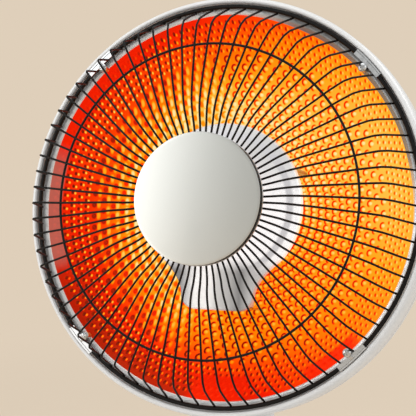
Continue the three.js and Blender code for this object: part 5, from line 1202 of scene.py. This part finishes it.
# ---- Controls: a rotary switch knob, a push button for the swing and a small neon lamp.
# The knob is pushed on its spindle and has a raised grip bar. The button springs back up.
KNOB_RADIUS = 17
SKIRT_TOP = 4.6
GRIP_TOP = 16
shape = bmesh.new()
turn_profile(shape, [(0, 0.6), (KNOB_RADIUS, 0.6), (KNOB_RADIUS, 3.4), (16.7, 4.1), (16.1, 4.5),
                     (15.8, SKIRT_TOP), (0, SKIRT_TOP)], 96, ring=False)
grip = bmesh.new()
add_box(grip, (-4.5, -15.8, 3.4), (4.5, 15.8, GRIP_TOP))
uprights = [e for e in grip.edges if abs(e.verts[0].co.z - e.verts[1].co.z) > 0.001]
bmesh.ops.bevel(grip, geom=uprights, offset=4.4 * MM, affect="EDGES", segments=8, profile=0.5, material=-1)
bmesh.ops.bevel(grip, geom=[e for e in grip.edges if min(v.co.z for v in e.verts) > (GRIP_TOP - 0.1) * MM],
                offset=1.1 * MM, affect="EDGES", segments=4, profile=0.5, material=-1)
grip_mesh = bpy.data.meshes.new("grip")
grip.to_mesh(grip_mesh)
grip.free()
shape.from_mesh(grip_mesh)
bpy.data.meshes.remove(grip_mesh)
bmesh.ops.transform(shape, matrix=on_top(KNOB_ANGLE), verts=shape.verts)
dress(add_object("knob_cap", shape, grey_plastic), "knob", "grey_plastic", "power_knob")

shape = bmesh.new()
turn_profile(shape, [(0, -6.8), (3, -6.8), (3, -2.9), (7, -2.9), (7, -2.8), (6, -2.8), (6, 3.2), (5.7, 3.8),
                     (5.2, 4), (3.5, 3.8), (0, 3.7)], 64, on_top(BUTTON_ANGLE), ring=False)
dress(add_object("swing_button", shape, grey_plastic), "button", "grey_plastic", "oscillation_button")

# Tinted acrylic: a glossy red window that is faintly lit from inside
red_lens = new_finish("tinted_red_acrylic")
edge_on = add_node(red_lens, "LayerWeight", {}, {"Blend": 0.35})
tone = add_node(red_lens, "Mix", {"data_type": "RGBA"},
                {0: edge_on.outputs["Facing"], 6: linear("#ff4a2c"), 7: linear("#9a1208")})
skin = add_node(red_lens, "BsdfPrincipled", {},
                {"Base Color": linear("#b81a10"), "Roughness": 0.1, "IOR": 1.49,
                 "Emission Color": tone.outputs[2], "Emission Strength": 0.6})
add_node(red_lens, "OutputMaterial", {}, {"Surface": skin})
LENS_RADIUS = 3
turns = [math.pi / 2 * i / 8 for i in range(1, 9)]
crown = [(LENS_RADIUS * math.cos(a), 0.3 + 0.9 * math.sin(a)) for a in turns]
shape = bmesh.new()
turn_profile(shape, [(0, -5), (LENS_RADIUS, -5), (LENS_RADIUS, 0.3)] + crown, 48, on_top(LAMP_ANGLE),
             ring=False)
dress(add_object("pilot_lens", shape, red_lens), "base", "lamp_lens", "indicator_lamp")

# The cord's gland: a rubber sleeve in the back of the base, with an open bore
GLAND_BORE = 4.2
shape = bmesh.new()
turn_profile(shape, [(GLAND_BORE, 101.6), (6.2, 101.6), (6.2, 111.2), (9, 111.2), (9, 113.4), (7.5, 114.8),
                     (5, BASE_RADIUS), (GLAND_BORE, 114.2)], 48, CORD_HOLE)
dress(add_object("gland", shape, rubber), "base", "black_rubber", "cord_gland")

# ---- Parts that stay inside: their solids have the right shape, and each gets its own finish.
# The counterweight is a raw iron casting, the switches and terminals are black phenolic moulding, and
# the rest is zinc-plated steel.

# Cast iron: dark grey, coarse from the sand mould
cast_iron = new_finish("sand_cast_iron")
spot = add_node(cast_iron, "TexCoord")
sand = add_node(cast_iron, "TexNoise", {}, {"Vector": spot.outputs["Object"], "Scale": 520.0, "Detail": 5.0})
tone = add_node(cast_iron, "Mix", {"data_type": "RGBA"},
                {0: sand.outputs[0], 6: linear("#3b3b3d"), 7: linear("#55565a")})
bump = add_node(cast_iron, "Bump", {}, {"Strength": 0.6, "Distance": 0.0005, "Height": sand.outputs[0]})
skin = add_node(cast_iron, "BsdfPrincipled", {},
                {"Base Color": tone.outputs[2], "Metallic": 0.7, "Roughness": 0.7, "Normal": bump})
add_node(cast_iron, "OutputMaterial", {}, {"Surface": skin})

# Phenolic moulding: hard, black-brown and dull
phenolic = new_finish("moulded_phenolic")
spot = add_node(phenolic, "TexCoord")
filler = add_node(phenolic, "TexNoise", {}, {"Vector": spot.outputs["Object"], "Scale": 700.0, "Detail": 4.0})
tone = add_node(phenolic, "Mix", {"data_type": "RGBA"},
                {0: filler.outputs[0], 6: linear("#232324"), 7: linear("#343434")})
skin = add_node(phenolic, "BsdfPrincipled", {},
                {"Base Color": tone.outputs[2], "Roughness": 0.55, "IOR": 1.6})
add_node(phenolic, "OutputMaterial", {}, {"Surface": skin})

finish_of_slot = {"white_plastic": white_abs, "grey_plastic": grey_plastic, "black_wire": black_enamel,
                  "bright_aluminium": polished, "satin_aluminium": satin, "zinc_steel": zinc,
                  "cast_iron": cast_iron, "ceramic": steatite, "quartz": fused_quartz,
                  "heating_alloy": hot_alloy, "phenolic": phenolic, "black_rubber": rubber,
                  "lamp_lens": red_lens}
for solid in frame["nodes"].values():
    for slot in solid.material_slots:
        slot.material = finish_of_slot[slot.material.name.split(".")[0]]
